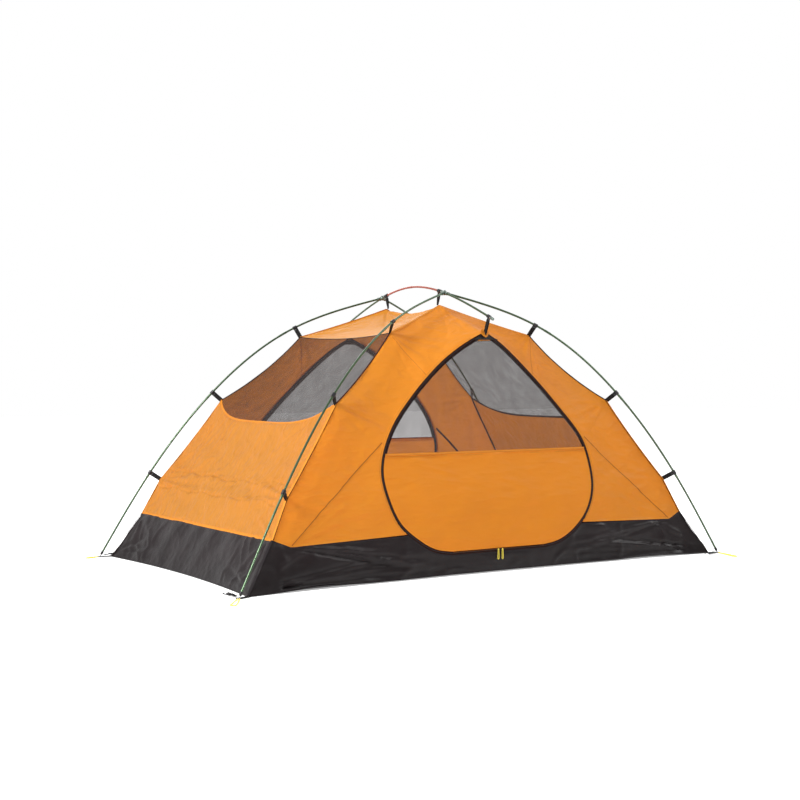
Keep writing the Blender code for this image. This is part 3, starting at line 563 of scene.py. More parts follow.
def make_finishes():
    return {
        "front": cloth_finish("orange_cloth_front", ORANGE, (0.08, (0.40, 1.0, 1.0), 0.0085)),
        # the end walls' and the roof's copies of the orange cloth are darker than the front's: painted
        # shade that offsets the stronger light falling on them
        "end": cloth_finish("orange_cloth_end_painted_shade", srgb(184, 122, 44), (0.08, (1.0, 1.0, 0.14), 0.0105),
                            share=0.34),
        "roof": cloth_finish("orange_cloth_roof_painted_shade", srgb(204, 138, 44), (0.10, (1.0, 0.4, 1.0), 0.0045),
                             share=0.36),
        "door": cloth_finish("orange_cloth_door", srgb(226, 142, 36), (0.08, (0.3, 1.0, 1.0), 0.0085)),
        "wall_seam": stitched_finish("orange_seam", srgb(176, 96, 26), srgb(120, 60, 18)),
        "soft_seam": stitched_finish("orange_flat_seam", srgb(206, 124, 34), srgb(150, 82, 24)),
        "edge": stitched_finish("brown_edge_binding", srgb(84, 36, 18), srgb(60, 30, 18), 0.05),
        "fold": stitched_finish("orange_fold_seam", srgb(216, 136, 38), srgb(150, 82, 24)),
        "hem": stitched_finish("orange_hem", srgb(222, 140, 40), srgb(160, 88, 26), 0.3),
        "binding": stitched_finish("black_binding", srgb(18, 13, 13), srgb(44, 38, 38), 0.02),
        "net": net_finish("door_net", 0.46),
        "window_net": net_finish("window_net", 0.68, srgb(46, 40, 39)),
        "net_hem": net_finish("net_hem", 0.86, srgb(30, 20, 18)),
        "tub": groundsheet_finish(),
        "tub_seam": webbing_finish("groundsheet_tape", srgb(30, 25, 27)),
        "webbing": webbing_finish("black_webbing", srgb(20, 18, 19)),
        "plastic": plastic_finish("black_acetal", srgb(22, 21, 23)),
        "tape": tape_finish("zip_tape", srgb(36, 13, 9)),
        "coil": plastic_finish("zip_coil", srgb(16, 8, 7), 0.5),
        "pole": anodised_finish("green_anodised", srgb(66, 86, 62)),
        "red_pole": anodised_finish("red_anodised", srgb(158, 84, 70)),
        "hub": anodised_finish("grey_anodised", srgb(104, 116, 108), 0.36),
        "steel": anodised_finish("bright_steel", srgb(190, 190, 192), 0.25, 1.0),
        "cord": cord_finish("yellow_cord", srgb(252, 228, 84)),
    }


# ------------------------------------------------------------------------------------------ shapes
def circle(sides):
    turns = np.linspace(0.0, 2 * math.pi, sides, endpoint=False)
    return np.column_stack((np.cos(turns), np.sin(turns)))


def slab(width, thickness):
    """A flat strip's section: thickness along the normal, width to the side, soft edges."""
    half, deep = width / 2, thickness / 2
    edge = half - deep
    return np.array(((-deep, -edge), (-deep, edge), (0.0, half), (deep, edge),
                     (deep, 0.0), (deep, -edge), (0.0, -half)))


def unit(vectors):
    return vectors / np.maximum(np.linalg.norm(vectors, axis=-1, keepdims=True), 1e-12)


class Shape:
    """Points, faces and flat coordinates gathered for one piece."""

    def __init__(self):
        self.points = []
        self.faces = []
        self.flat = []
        self.finish = []

    def add(self, points, faces, flat, finish=0):
        base = len(self.points)
        self.points += [tuple(p) for p in points]
        self.faces += [tuple(base + k for k in face) for face in faces]
        self.flat += flat
        self.finish += [finish] * len(faces)

    def surface(self, grid, flat, finish=0):
        """An open sheet: one point and one flat coordinate for each place in the grid."""
        rows, columns = grid.shape[:2]
        faces = []
        for i in range(rows - 1):
            for j in range(columns - 1):
                a = i * columns + j
                faces.append((a, a + 1, a + columns + 1, a + columns))
        places = [tuple(p) for p in flat.reshape(-1, 2)]
        corners = [tuple(places[k] for k in face) for face in faces]
        self.add(grid.reshape(-1, 3), faces, corners, finish)

    def sweep(self, path, section, finish=0, normals=None, scale=1.0, first=(0.13, 0.31, 0.94),
              looped=False):
        """A section carried along a path, with closed ends unless it is looped."""
        path = np.asarray(path, float)
        count, sides = len(path), len(section)
        if looped:
            tangent = unit(np.roll(path, -1, axis=0) - np.roll(path, 1, axis=0))
        else:
            tangent = unit(np.gradient(path, axis=0))
        if normals is None:
            normals = np.zeros((count, 3))
            last = np.asarray(first, float)
            for i in range(count):
                last = unit(last - tangent[i] * last.dot(tangent[i]))
                normals[i] = last
        else:
            normals = np.asarray(normals, float) * np.ones((count, 1))
            normals = unit(normals - tangent * np.sum(normals * tangent, axis=1)[:, None])
        side = np.cross(tangent, normals)
        scale = np.broadcast_to(scale, (count,))[:, None, None]
        rings = (path[:, None, :] + normals[:, None, :] * section[None, :, 0:1] * scale
                 + side[:, None, :] * section[None, :, 1:2] * scale)
        along = arc_lengths(path)
        round_way = np.concatenate((section, section[:1]))
        v = arc_lengths(np.column_stack((round_way, np.zeros(sides + 1)))) * float(np.mean(scale))
        flat_strip = np.ptp(section[:, 0]) < 0.5 * np.ptp(section[:, 1])
        sideways = np.concatenate((section[:, 1], section[:1, 1]))
        v = sideways if flat_strip else v
        faces, flat = [], []
        for i in range(count if looped else count - 1):
            after = (i + 1) % count
            u_after = along[i + 1] if i + 1 < count else along[i] + along[1]
            for k in range(sides):
                m = (k + 1) % sides
                faces.append((i * sides + k, i * sides + m, after * sides + m, after * sides + k))
                flat.append(((along[i], v[k]), (along[i], v[k + 1]),
                             (u_after, v[k + 1]), (u_after, v[k])))
        if not looped:
            for row, order in ((0, range(sides - 1, -1, -1)), (count - 1, range(sides))):
                faces.append(tuple(row * sides + k for k in order))
                flat.append(tuple((along[row] + section[k][0], v[k]) for k in order))
        self.add(rings.reshape(-1, 3), faces, flat, finish)

    def turned(self, origin, axis, profile, finish=0, sides=20):
        """A round body: profile holds (distance along the axis, radius) pairs."""
        axis = unit(np.asarray(axis, float))
        along = np.array([p[0] for p in profile])
        radius = np.maximum(np.array([p[1] for p in profile]), 0.00005)
        path = np.asarray(origin, float) + axis * along[:, None]
        helper = (0.0, 0.0, 1.0) if abs(axis[2]) < 0.8 else (1.0, 0.0, 0.0)
        normal = unit(np.array(helper) - axis * np.dot(helper, axis))
        side = np.cross(axis, normal)
        ring = circle(sides)
        points = (path[:, None, :] + normal * ring[None, :, 0:1] * radius[:, None, None]
                  + side * ring[None, :, 1:2] * radius[:, None, None])
        faces, flat = [], []
        wrap = 2 * math.pi * float(radius.max()) / sides
        for i in range(len(profile) - 1):
            for k in range(sides):
                m = (k + 1) % sides
                faces.append((i * sides + k, i * sides + m, (i + 1) * sides + m, (i + 1) * sides + k))
                flat.append(((along[i], k * wrap), (along[i], (k + 1) * wrap),
                             (along[i + 1], (k + 1) * wrap), (along[i + 1], k * wrap)))
        for row, order in ((0, range(sides - 1, -1, -1)), (len(profile) - 1, range(sides))):
            faces.append(tuple(row * sides + k for k in order))
            flat.append(tuple((along[row], k * wrap) for k in order))
        self.add(points.reshape(-1, 3), faces, flat, finish)

    def plate(self, outline, low, high, placed, finish=0, bevel=0.0004):
        """A flat outline in local XY, thickened along local Z, with bevelled rims."""
        outline = np.asarray(outline, float)
        before, after = np.roll(outline, 1, axis=0), np.roll(outline, -1, axis=0)
        to, on = unit(outline - before), unit(after - outline)
        turn = unit(to + on)
        area = np.sum(outline[:, 0] * after[:, 1] - outline[:, 1] * after[:, 0])
        inward = np.column_stack((-turn[:, 1], turn[:, 0])) * (1.0 if area > 0 else -1.0)
        inset = outline + inward * bevel
        levels = ((inset, low), (outline, low + bevel), (outline, high - bevel), (inset, high))
        matrix = np.array(placed)
        points = []
        for ring, height in levels:
            solid = np.column_stack((ring, np.full(len(ring), height)))
            points.append(solid @ matrix[:3, :3].T + matrix[:3, 3])
        count = len(outline)
        flat_ring = [tuple(p) for p in outline]
        faces = [tuple(range(count - 1, -1, -1)), tuple(range(3 * count, 4 * count))]
        flat = [tuple(flat_ring[::-1]), tuple(flat_ring)]
        for level in range(3):
            for k in range(count):
                m = (k + 1) % count
                faces.append((level * count + k, level * count + m,
                              (level + 1) * count + m, (level + 1) * count + k))
                flat.append((flat_ring[k], flat_ring[m], flat_ring[m], flat_ring[k]))
        self.add(np.vstack(points), faces, flat, finish)

    def made(self, name, finishes, sharp=40.0, closed=True):
        mesh = bpy.data.meshes.new(name)
        mesh.from_pydata(self.points, [], self.faces)
        layer = mesh.uv_layers.new(name="flat")
        corners = [place for face in self.flat for place in face]
        layer.data.foreach_set("uv", np.array(corners, np.float32).ravel())
        mesh.polygons.foreach_set("material_index", np.array(self.finish, np.int32))
        for finish in finishes:
            mesh.materials.append(finish)
        if closed:
            shell = bmesh.new()
            shell.from_mesh(mesh)
            bmesh.ops.recalc_face_normals(shell, faces=shell.faces)
            shell.to_mesh(mesh)
            shell.free()
        mesh.shade_smooth()
        mesh.set_sharp_from_angle(angle=math.radians(sharp))
        made = bpy.data.objects.new(name, mesh)
        bpy.context.scene.collection.objects.link(made)
        return made


def settle(piece, body, slot, *nodes):
    """Gives a piece its body and hides the CAD nodes that it stands for; the slot is not used."""
    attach(piece, body)
    if nodes:
        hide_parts(*nodes)
    return piece


def frame_at(origin, forward, up):
    """A placement whose X runs forward and whose Z is as near to up as it can be."""
    x_axis = Vector(forward).normalized()
    z_axis = Vector(up) - x_axis * Vector(up).dot(x_axis)
    z_axis.normalize()
    y_axis = z_axis.cross(x_axis)
    placed = Matrix((x_axis, y_axis, z_axis)).transposed().to_4x4()
    placed.translation = Vector(origin)
    return placed


# ---------------------------------------------------------------------------------- camera and light
def make_camera():
    data = bpy.data.cameras.new("camera")
    data.lens = LENS
    data.sensor_width = SENSOR
    camera = bpy.data.objects.new("camera", data)
    camera.location = CAMERA_PLACE
    camera.rotation_euler = (CAMERA_TILT, 0.0, CAMERA_TURN)
    bpy.context.scene.collection.objects.link(camera)
    bpy.context.scene.camera = camera


def make_light(name, place, size, power):
    data = bpy.data.lights.new(name, "AREA")
    data.size = size
    data.energy = power
    light = bpy.data.objects.new(name, data)
    light.location = place
    aim = Vector(LIGHT_TARGET) - Vector(place)
    light.rotation_euler = aim.to_track_quat("-Z", "Y").to_euler()
    bpy.context.scene.collection.objects.link(light)


def make_studio():
    """A white surround, dimmer on the front door's side, three large soft lights and a pale floor."""
    scene = bpy.context.scene
    scene.view_settings.view_transform = "Standard"
    world = bpy.data.worlds.new("studio")
    world.use_nodes = True
    backdrop = world.node_tree.nodes["Background"]
    backdrop.inputs[0].default_value = (1.0, 1.0, 1.0, 1.0)
    nodes, links = world.node_tree.nodes, world.node_tree.links
    toward = nodes.new("ShaderNodeTexCoord")
    apart = nodes.new("ShaderNodeSeparateXYZ")
    bright = nodes.new("ShaderNodeMapRange")
    for socket, value in SKY_FADE:
        bright.inputs[socket].default_value = value
    links.new(toward.outputs["Generated"], apart.inputs[0])
    links.new(apart.outputs[1], bright.inputs["Value"])
    seen = nodes.new("ShaderNodeLightPath")
    whiter = nodes.new("ShaderNodeMath")
    whiter.operation = "MAXIMUM"
    links.new(bright.outputs[0], whiter.inputs[0])
    links.new(seen.outputs["Is Camera Ray"], whiter.inputs[1])
    links.new(whiter.outputs[0], backdrop.inputs[1])
    scene.world = world
    for name, place, size, power in LIGHTS:
        make_light(name, place, size, power)
    floor = Finish("pale_floor", (0.90, 0.90, 0.90), 0.9, specular=0.1)
    floor.vary(floor.noise(0.8), 0.99, 1.01)
    floor.set("Emission Color", (1.0, 1.0, 1.0, 1.0))
    floor.set("Emission Strength", FLOOR_GLOW)
    ground = Shape()
    corners = np.array([[(x * FLOOR_REACH, y * FLOOR_REACH, -FLOOR_DROP) for x in (-1, 1)]
                        for y in (-1, 1)])
    ground.surface(corners, corners[:, :, :2])
    ground.made("floor", [floor.material], closed=False)


# -------------------------------------------------------------------------------------------- cords
def peg_route(foot, reach):
    """A loop of cord that runs out over the ground from the tab and back to it."""
    reach = Vector((*reach, 0.0))
    out = reach.normalized()
    side = Vector((-out.y, out.x, 0.0))
    start = Vector(foot) + out * (TAB_END_RADIUS + 0.0025)
    ground = Vector((0, 0, PEG_CORD_RADIUS + 0.0004))
    run = reach.length - TAB_END_RADIUS - PEG_LOOP_HALF_WIDTH
    points = []
    for t, w in ((0.0, 0.35), (0.15, 0.45), (0.35, 0.75), (0.6, 0.95), (0.85, 1.0)):
        points.append(start + out * run * t + side * PEG_LOOP_HALF_WIDTH * w)
    tip = start + out * run
    turn_back = [math.radians(a) for a in (60, 30, 0, -30, -60)]
    points += [tip + (out * math.cos(a) + side * math.sin(a)) * PEG_LOOP_HALF_WIDTH
               for a in turn_back]
    for t, w in ((0.85, 1.0), (0.6, 0.9), (0.35, 0.7), (0.15, 0.45), (0.0, 0.35)):
        points.append(start + out * run * t - side * PEG_LOOP_HALF_WIDTH * w)
    return smooth_curve([p + ground for p in points], 44)


def make_peg_loops(finishes):
    for name, (sign_x, sign_y, _, reach) in CORNERS.items():
        foot = mirrored(LEG_PATH[0], sign_x, sign_y)
        foot[2] = 0.0
        route = peg_route(foot, reach)
        fine = resample(route, 110)
        cord = Shape()
        cord.sweep(fine, circle(10) * PEG_CORD_RADIUS)
        piece = settle(cord.made("cord_peg_loop_" + name, [finishes["cord"]]), "tent",
                       "yellow_cord", "peg_loop_" + name)


# ------------------------------------------------------------------------------------------ wrinkles
def ripple(points, wavelength, seed, stretch=(1.0, 1.0, 1.0)):
    """Smooth random unevenness of about unit height, built of plane waves."""
    random = np.random.default_rng(seed)
    placed = points * np.array(stretch)
    total = np.zeros(points.shape[:-1])
    for _ in range(14):
        direction = unit(random.normal(size=3))
        rate = 2 * math.pi / wavelength * random.uniform(0.6, 1.5)
        total += np.cos(placed @ direction * rate + random.uniform(0.0, 2 * math.pi))
    return total / math.sqrt(7)


def folds(points, wavelength, seed, stretch=(1.0, 1.0, 1.0), sharpness=0.45):
    """Narrow raised lines that wander over the cloth, as where it has been crushed."""
    return np.exp(-(ripple(points, wavelength, seed, stretch) / sharpness) ** 2)


def crease(points, start, end, width, height, plane=XZ):
    """A fold, seen along the plane's normal, that starts sharp and fades out on its way."""
    start, end, points = np.asarray(start) * plane, np.asarray(end) * plane, points * plane
    chord = end - start
    t = np.clip(((points - start) @ chord) / chord.dot(chord), 0.0, 1.0)
    off = np.linalg.norm(points - start - t[..., None] * chord, axis=-1)
    swell = width * (0.3 + 0.7 * t)
    envelope = smooth_step(t / 0.06) * (1 - smooth_step((t - 0.25) / 0.75))
    return height * envelope * np.exp(-(off / swell) ** 2)


def fan(points, start, first, last, count, width, height, seed, plane=XZ):
    """Creases that spread from one pulled point towards the stretch from first to last."""
    random = np.random.default_rng(seed)
    first, last = np.asarray(first, float), np.asarray(last, float)
    total = np.zeros(points.shape[:-1])
    for k in range(count):
        share = (k + random.uniform(0.2, 0.8)) / count
        end = first + (last - first) * share
        tall = height * random.uniform(0.5, 1.0) * (1 if k % 2 else -1)
        total += crease(points, start, end, width * random.uniform(0.7, 1.3), tall, plane)
    return total


def rim_distances(grid):
    """How far each place of a grid is from its left, right, lower and upper rims."""
    across = np.linalg.norm(np.diff(grid, axis=1), axis=2)
    left = np.concatenate((np.zeros((len(grid), 1)), np.cumsum(across, axis=1)), axis=1)
    along = np.linalg.norm(np.diff(grid, axis=0), axis=2)
    low = np.concatenate((np.zeros((1, grid.shape[1])), np.cumsum(along, axis=0)), axis=0)
    return left, left[:, -1:] - left, low, low[-1:] - low


def outward(grid):
    normal = unit(np.cross(np.gradient(grid, axis=1), np.gradient(grid, axis=0)))
    if np.sum(normal * (grid - INSIDE)) < 0:
        normal = -normal
    return normal


def raise_by(grid, height, fade_over=0.02):
    """The sheet pushed out by height, less and less towards its sewn rims."""
    near = np.minimum.reduce(rim_distances(grid))
    return grid + outward(grid) * (height * smooth_step(near / fade_over))[..., None]


def flat_places(grid):
    """Coordinates on the cloth, in metres, from its left and lower rims."""
    left, right, low, _ = rim_distances(grid)
    middle = (left - right) / 2
    return np.stack((middle, low), axis=-1)


def make_sheet(name, grid, finish, body, slot, node):
    """One panel of cloth: its piece, its flat cut and what holds it."""
    shape = Shape()
    shape.surface(grid, flat_places(grid))
    piece = settle(shape.made(name, [finish], sharp=180.0, closed=False), body, slot, node)
    return piece


def tree_of(*grids):
    shape = Shape()
    for grid in grids:
        shape.surface(grid, grid[..., :2])
    return BVHTree.FromPolygons(shape.points, shape.faces)


def laid_on(tree, places, sign_y, lift=0.0006):
    """A line of X and Z places laid on a wall, as its points and the wall's outward normals."""
    points, normals = [], []
    for x, z in places:
        hit, normal, _, _ = tree.ray_cast(Vector((x, 2.0 * sign_y, z)), Vector((0, -sign_y, 0)))
        if hit is None:
            continue
        normal = normal if normal.y * sign_y > 0 else -normal
        points.append(hit + normal * lift)
        normals.append(normal)
    return np.array(points), np.array(normals)


def straight_seam(start, end, sign_x, count=60):
    """The X and Z places of a straight seam from start to end."""
    start, end = (start[0] * sign_x, start[1]), (end[0] * sign_x, end[1])
    return [(start[0] + (end[0] - start[0]) * t, start[1] + (end[1] - start[1]) * t)
            for t in np.linspace(0.0, 1.0, count)]


# ------------------------------------------------------------------------------------------- walls
# each flat seam's ends, as X and Z, and which finish it has
WALL_SEAMS = (((0.905, 0.160), (0.490, 0.512), 0), ((0.340, 0.918), (0.262, 0.765), 2))
WALL_ROWS = 217
WALL_ACROSS = 49


def half_wall(sign_x, sign_y):
    """Half of the band round the door: its inner rim is the zip, its outer rim the fold."""
    inner = door_outline(ZIP_EDGE, sign_x, sign_y)
    inner = resample(cut_at_height(inner, WALL_START_Z), WALL_ROWS)
    inner[-1, 0] = 0.0
    outer = resample(fold_edge(sign_x, sign_y, 0, 4), WALL_ROWS)
    shares = np.linspace(0.0, 1.0, WALL_ACROSS)
    across = shares[None, :, None]
    grid = inner[:, None, :] * (1 - across) + outer[:, None, :] * across
    kink = mirrored(TUB_KINK, sign_x, sign_y)
    lower = np.array([inner[0] + (kink - inner[0]) * (c / WALL_KINK) if c < WALL_KINK
                      else kink + (outer[0] - kink) * (c - WALL_KINK) / (1 - WALL_KINK)
                      for c in shares])
    fade = np.maximum(0.0, 1.0 - np.linspace(0.0, 1.0, WALL_ROWS) / WALL_FADE)
    return grid + (lower - grid[0])[None, :, :] * fade[:, None, None]


def wall_creases(grid, sign_x, sign_y):
    """Draw-in between the clips, pulled creases at the clips and kink, and zip puckers."""
    def at(point):
        return mirrored(point, sign_x, sign_y)

    left, right, low, _ = rim_distances(grid)
    width = left + right
    sag = -0.006 * np.sin(np.pi * left / np.maximum(width, 1e-6)) * smooth_step(width / 0.3)
    height = sag + 0.0018 * ripple(grid, 0.20, 11) + 0.0003 * ripple(grid, 0.060, 12)
    height += 0.0018 * folds(grid, 0.16, 14, (1.0, 1.0, 1.6)) * smooth_step(left / 0.05)
    door_low, door_mid, door_high = ((0.49, 0.59, 0.26), (0.49, 0.55, 0.45), (0.33, 0.505, 0.68))
    height += fan(grid, at(FOLD_LOW), at((0.60, 0.60, 0.18)), at(door_mid), 6, 0.024, 0.0055, 21)
    height += fan(grid, at(FOLD_MID), at(door_mid), at(door_high), 6, 0.022, 0.0048, 22)
    height += fan(grid, at(FOLD_HIGH), at(door_high), at((0.05, 0.50, 0.90)), 8, 0.014, 0.0028, 23)
    height += fan(grid, at(ROOF_PEAK), at((0.20, 0.48, 0.83)), at((0.02, 0.50, 0.92)), 6,
                  0.013, 0.0040, 24)
    height += fan(grid, at(TUB_KINK), at(door_low), at(door_mid), 5, 0.018, 0.0040, 25)
    along = low / 0.021 + 0.6 * ripple(grid, 0.15, 13)
    puckers = np.sin(2 * np.pi * along) * np.exp(-left / 0.016) * smooth_step(left / 0.002)
    fold_puckers = np.sin(2 * np.pi * low / 0.030) * np.exp(-right / 0.014)
    return height + 0.0007 * puckers + 0.0005 * fold_puckers * smooth_step(right / 0.002)


def make_walls(finishes):
    trees = {}
    for side, sign_y in SIDES.items():
        halves = []
        for sign_x in (1, -1):
            half = half_wall(sign_x, sign_y)
            height = wall_creases(half, sign_x, sign_y)
            left, right, low, _ = rim_distances(half)
            near = np.minimum(np.minimum(left, right), low)
            fade = smooth_step(near / 0.012)
            halves.append(half + outward(half) * (height * fade)[..., None])
        halves[1][-1] = halves[0][-1] * np.array((0.0, 1.0, 1.0))
        halves[0][-1] = halves[1][-1]
        grid = np.vstack((halves[0], halves[1][-2::-1]))
        make_sheet("wall_" + side, grid, finishes["front"], "tent", "orange_cloth",
                   "door_wall_" + side)
        tree = tree_of(grid)
        trees[side] = tree
        seams = Shape()
        for sign_x in (1, -1):
            for start, end, index in WALL_SEAMS:
                points, normals = laid_on(tree, straight_seam(start, end, sign_x), sign_y)
                seams.sweep(points, slab(WALL_SEAM_WIDTH, 0.0010), index, normals)
            hem_path = door_outline(ZIP_EDGE + HEM / 2 - HEM_OVER_TAPE, sign_x, sign_y)
            hem_path = cut_at_height(hem_path, WALL_START_Z + 0.003)
            hem_path = hem_path[hem_path[:, 2] < NET_TOP]
            points, normals = laid_on(tree, resample(hem_path, 200)[:, [0, 2]], sign_y, 0.0005)
            seams.sweep(points, slab(HEM, 0.0007), 1, normals)
        cloths = [finishes["wall_seam"], finishes["hem"], finishes["soft_seam"]]
        settle(seams.made("wall_seams_" + side, cloths), "tent", "orange_cloth")
    return trees


def end_lines(sign_x, count):
    """The tub line, the window's lower edge and its upper edge, front to rear."""
    across = np.linspace(-1.0, 1.0, count)
    bow = 1 - across ** 2
    tub = np.column_stack(((TUB_CORNER[0] - (TUB_CORNER[0] - TUB_END_X) * bow) * sign_x,
                           TUB_CORNER[1] * across, np.full(count, TUB_CORNER[2])))
    deep = 1 - across ** 4
    window_x = FOLD_MID[0] + (WINDOW_BOTTOM_X - FOLD_MID[0]) * deep
    window = np.column_stack((window_x * sign_x, FOLD_MID[1] * across,
                              FOLD_MID[2] - WINDOW_DIP * deep))
    roof = np.column_stack((np.full(count, FOLD_HIGH[0] * sign_x), FOLD_HIGH[1] * across,
                            FOLD_HIGH[2] - ROOF_EDGE_SAG * bow))
    return tub, window, roof


def end_wall_creases(grid, sign_x):
    """Many fine upright creases, two seams with puckers and pulls from the clips."""
    z = grid[..., 2]
    upright = (1.0, 1.0, 0.12)
    height = 0.0006 * ripple(grid, 0.050, 31, upright) + 0.0018 * ripple(grid, 0.16, 33)
    height += 0.0026 * folds(grid, 0.10, 32, (1.0, 1.0, 0.10))
    height += 0.0016 * folds(grid, 0.15, 38, (1.0, 1.0, 0.30))
    for seam_z in (0.366, 0.300):
        off = np.abs(z - seam_z - 0.004 * ripple(grid, 0.30, 39))
        height += 0.0024 * ripple(grid, 0.030, 34, (1.0, 1.0, 0.05)) * np.exp(-off / 0.024)
        height -= 0.0040 * np.exp(-(off / 0.0036) ** 2)
    for sign_y, seed in ((-1, 35), (1, 36)):
        low_clip = mirrored(FOLD_LOW, sign_x, sign_y)
        mid_clip = mirrored(FOLD_MID, sign_x, sign_y)
        height += fan(grid, low_clip, (0.95 * sign_x, 0.1 * sign_y, 0.19),
                      (0.80 * sign_x, 0.0, 0.45), 5, 0.020, 0.0045, seed, YZ)
        height += fan(grid, mid_clip, (0.80 * sign_x, 0.15 * sign_y, 0.42),
                      (0.72 * sign_x, 0.0, 0.58), 4, 0.016, 0.0040, seed + 4, YZ)
        corner = mirrored(TUB_CORNER, sign_x, sign_y)
        height += fan(grid, corner, (0.87 * sign_x, 0.40 * sign_y, 0.36),
                      (0.90 * sign_x, 0.15 * sign_y, 0.28), 3, 0.018, 0.0045, seed + 8, YZ)
    left, right, low, high = rim_distances(grid)
    sag = -0.012 * np.sin(np.pi * low / (low + high)) * np.sin(np.pi * left / (left + right))
    puckers = np.sin(2 * np.pi * left / 0.017 + 2 * ripple(grid, 0.1, 37))
    height += 0.0009 * puckers * (np.exp(-low / PUCKER_FADE) + np.exp(-high / PUCKER_FADE))
    return height + sag


def make_ends(finishes):
    for end, sign_x in ENDS.items():
        tub, window, roof = end_lines(sign_x, 281)
        front, rear = (resample(fold_edge(sign_x, sign_y, 0, 2), 113) for sign_y in (-1, 1))
        wall = coons(tub, window, front, rear)
        wall = raise_by(wall, end_wall_creases(wall, sign_x), 0.014)
        make_sheet("end_wall_cloth_" + end, wall, finishes["end"], "tent", "orange_cloth",
                   "end_wall_" + end)
        front, rear = (resample(fold_edge(sign_x, sign_y, 2, 3), 71) for sign_y in (-1, 1))
        tub, window, roof = end_lines(sign_x, 121)
        net = coons(window, roof, front, rear)
        left, right, low, high = rim_distances(net)
        height = -0.010 * np.sin(np.pi * low / (low + high)) * np.sin(np.pi * left / (left + right))
        height += 0.0012 * ripple(net, 0.12, 41)
        for sign_y in (-1, 1):
            height += fan(net, mirrored(FOLD_HIGH, sign_x, sign_y), (0.70 * sign_x, 0, 0.60),
                          (0.40 * sign_x, 0, 0.88), 4, 0.016, 0.002, 42, YZ)
        net = raise_by(net, height, 0.014)
        make_sheet("window_net_" + end, net, finishes["window_net"], "tent", "dark_mesh",
                   "window_mesh_" + end)
        hem = Shape()
        hem_normals = outward(wall)
        hem.sweep(wall[-1] + hem_normals[-1] * 0.0006, slab(0.009, SEAM_THICK), 0, hem_normals[-1])
        hem.sweep(wall[0] + hem_normals[0] * 0.0006, slab(0.010, SEAM_THICK), 0, hem_normals[0])
        hem.sweep(wall[-1] - hem_normals[-1] * 0.0014, slab(INNER_TAPE, 0.0012), 1, -hem_normals[-1])
        settle(hem.made("end_wall_hems_" + end, [finishes["hem"], finishes["binding"]]), "tent",
               "orange_cloth")
        binding = Shape()
        net_normals = outward(net)
        binding.sweep(net[-1] + net_normals[-1] * 0.0008, slab(0.5 * BINDING_WIDTH, 0.0012), 0,
                      net_normals[-1])
        for column in (0, -1):
            binding.sweep(net[:, column] + net_normals[:, column] * 0.0008,
                          slab(BINDING_WIDTH, 0.0012), 0, net_normals[:, column])
        settle(binding.made("window_binding_" + end, [finishes["binding"]]), "tent", "dark_mesh")


def make_inner_bindings(finishes, trees):
    """The dark tapes that bind the seams on the inside of the tent."""
    for name, (sign_x, sign_y, _, _) in CORNERS.items():
        tape = Shape()
        path = resample(fold_edge(sign_x, sign_y, 0, 2), 90)
        inward = unit(INSIDE - path)
        tape.sweep(path + inward * INNER_GAP, slab(INNER_TAPE, 0.0012), 0, inward)
        start, end, _ = WALL_SEAMS[0]
        points, normals = laid_on(trees[name.split("_")[0]], straight_seam(start, end, sign_x),
                                  sign_y)
        tape.sweep(points - normals * INNER_GAP, slab(INNER_TAPE, 0.0012), 0, -normals)
        settle(tape.made("inner_binding_" + name, [finishes["binding"]]), "tent", "orange_cloth")


def make_fold_seams(finishes):
    """The welted seams that run down the four corner folds."""
    for name, (sign_x, sign_y, _, _) in CORNERS.items():
        seam = Shape()
        for first, last in ((0, 2), (2, 3), (3, 4)):
            path = resample(fold_edge(sign_x, sign_y, first, last), 90)
            away = path - INSIDE
            away[:, 2] *= 0.6
            toward_end = np.array((sign_x, 0.0, 0.3)) if first == 0 else np.array((0, sign_y, 0.6))
            normals = unit(unit(away) + 0.6 * toward_end)
            if first == 2:
                normals = unit(unit(away) + 0.8 * np.array((0.0, sign_y, 0.3)))
            width, index = (0.0055, 1) if first == 2 else (SEAM_WIDTH, 0)
            seam.sweep(path + normals * 0.0008, slab(width, 0.0014), index, normals)
        settle(seam.made("fold_seam_" + name, [finishes["fold"], finishes["edge"]]), "tent",
               "orange_cloth")


def make_roof(finishes):
    edges = []
    for sign_y in (-1, 1):
        left = resample(fold_edge(-1, sign_y, 3, 4), 71)
        right = resample(fold_edge(1, sign_y, 3, 4), 71)
        edges.append(np.vstack((left, right[-2::-1])))
    left_edge = resample(end_lines(-1, 121)[2], 121)
    right_edge = resample(end_lines(1, 121)[2], 121)
    roof = coons(edges[0], edges[1], left_edge, right_edge)
    height = 0.0010 * ripple(roof, 0.15, 51) + 0.0003 * ripple(roof, 0.04, 52)
    for sign_y in (-1, 1):
        peak = mirrored(ROOF_PEAK, 1, sign_y)
        height += fan(roof, peak, (-0.3, -0.2 * sign_y, 0.95), (0.3, -0.2 * sign_y, 0.95), 8,
                      0.014, 0.0045, 53, XY)
        for sign_x in (-1, 1):
            clip = mirrored(FOLD_HIGH, sign_x, sign_y)
            height += fan(roof, clip, (0.0, 0.1 * sign_y, 1.03), (0.25 * sign_x, 0.0, 0.95), 4,
                          0.014, 0.0040, 54, XY)
    left, right, low, high = rim_distances(roof)
    height -= 0.010 * np.sin(np.pi * low / (low + high)) * np.sin(np.pi * left / (left + right))
    roof = raise_by(roof, height, 0.014)
    make_sheet("roof_cloth", roof, finishes["roof"], "tent", "orange_cloth", "roof_panel")


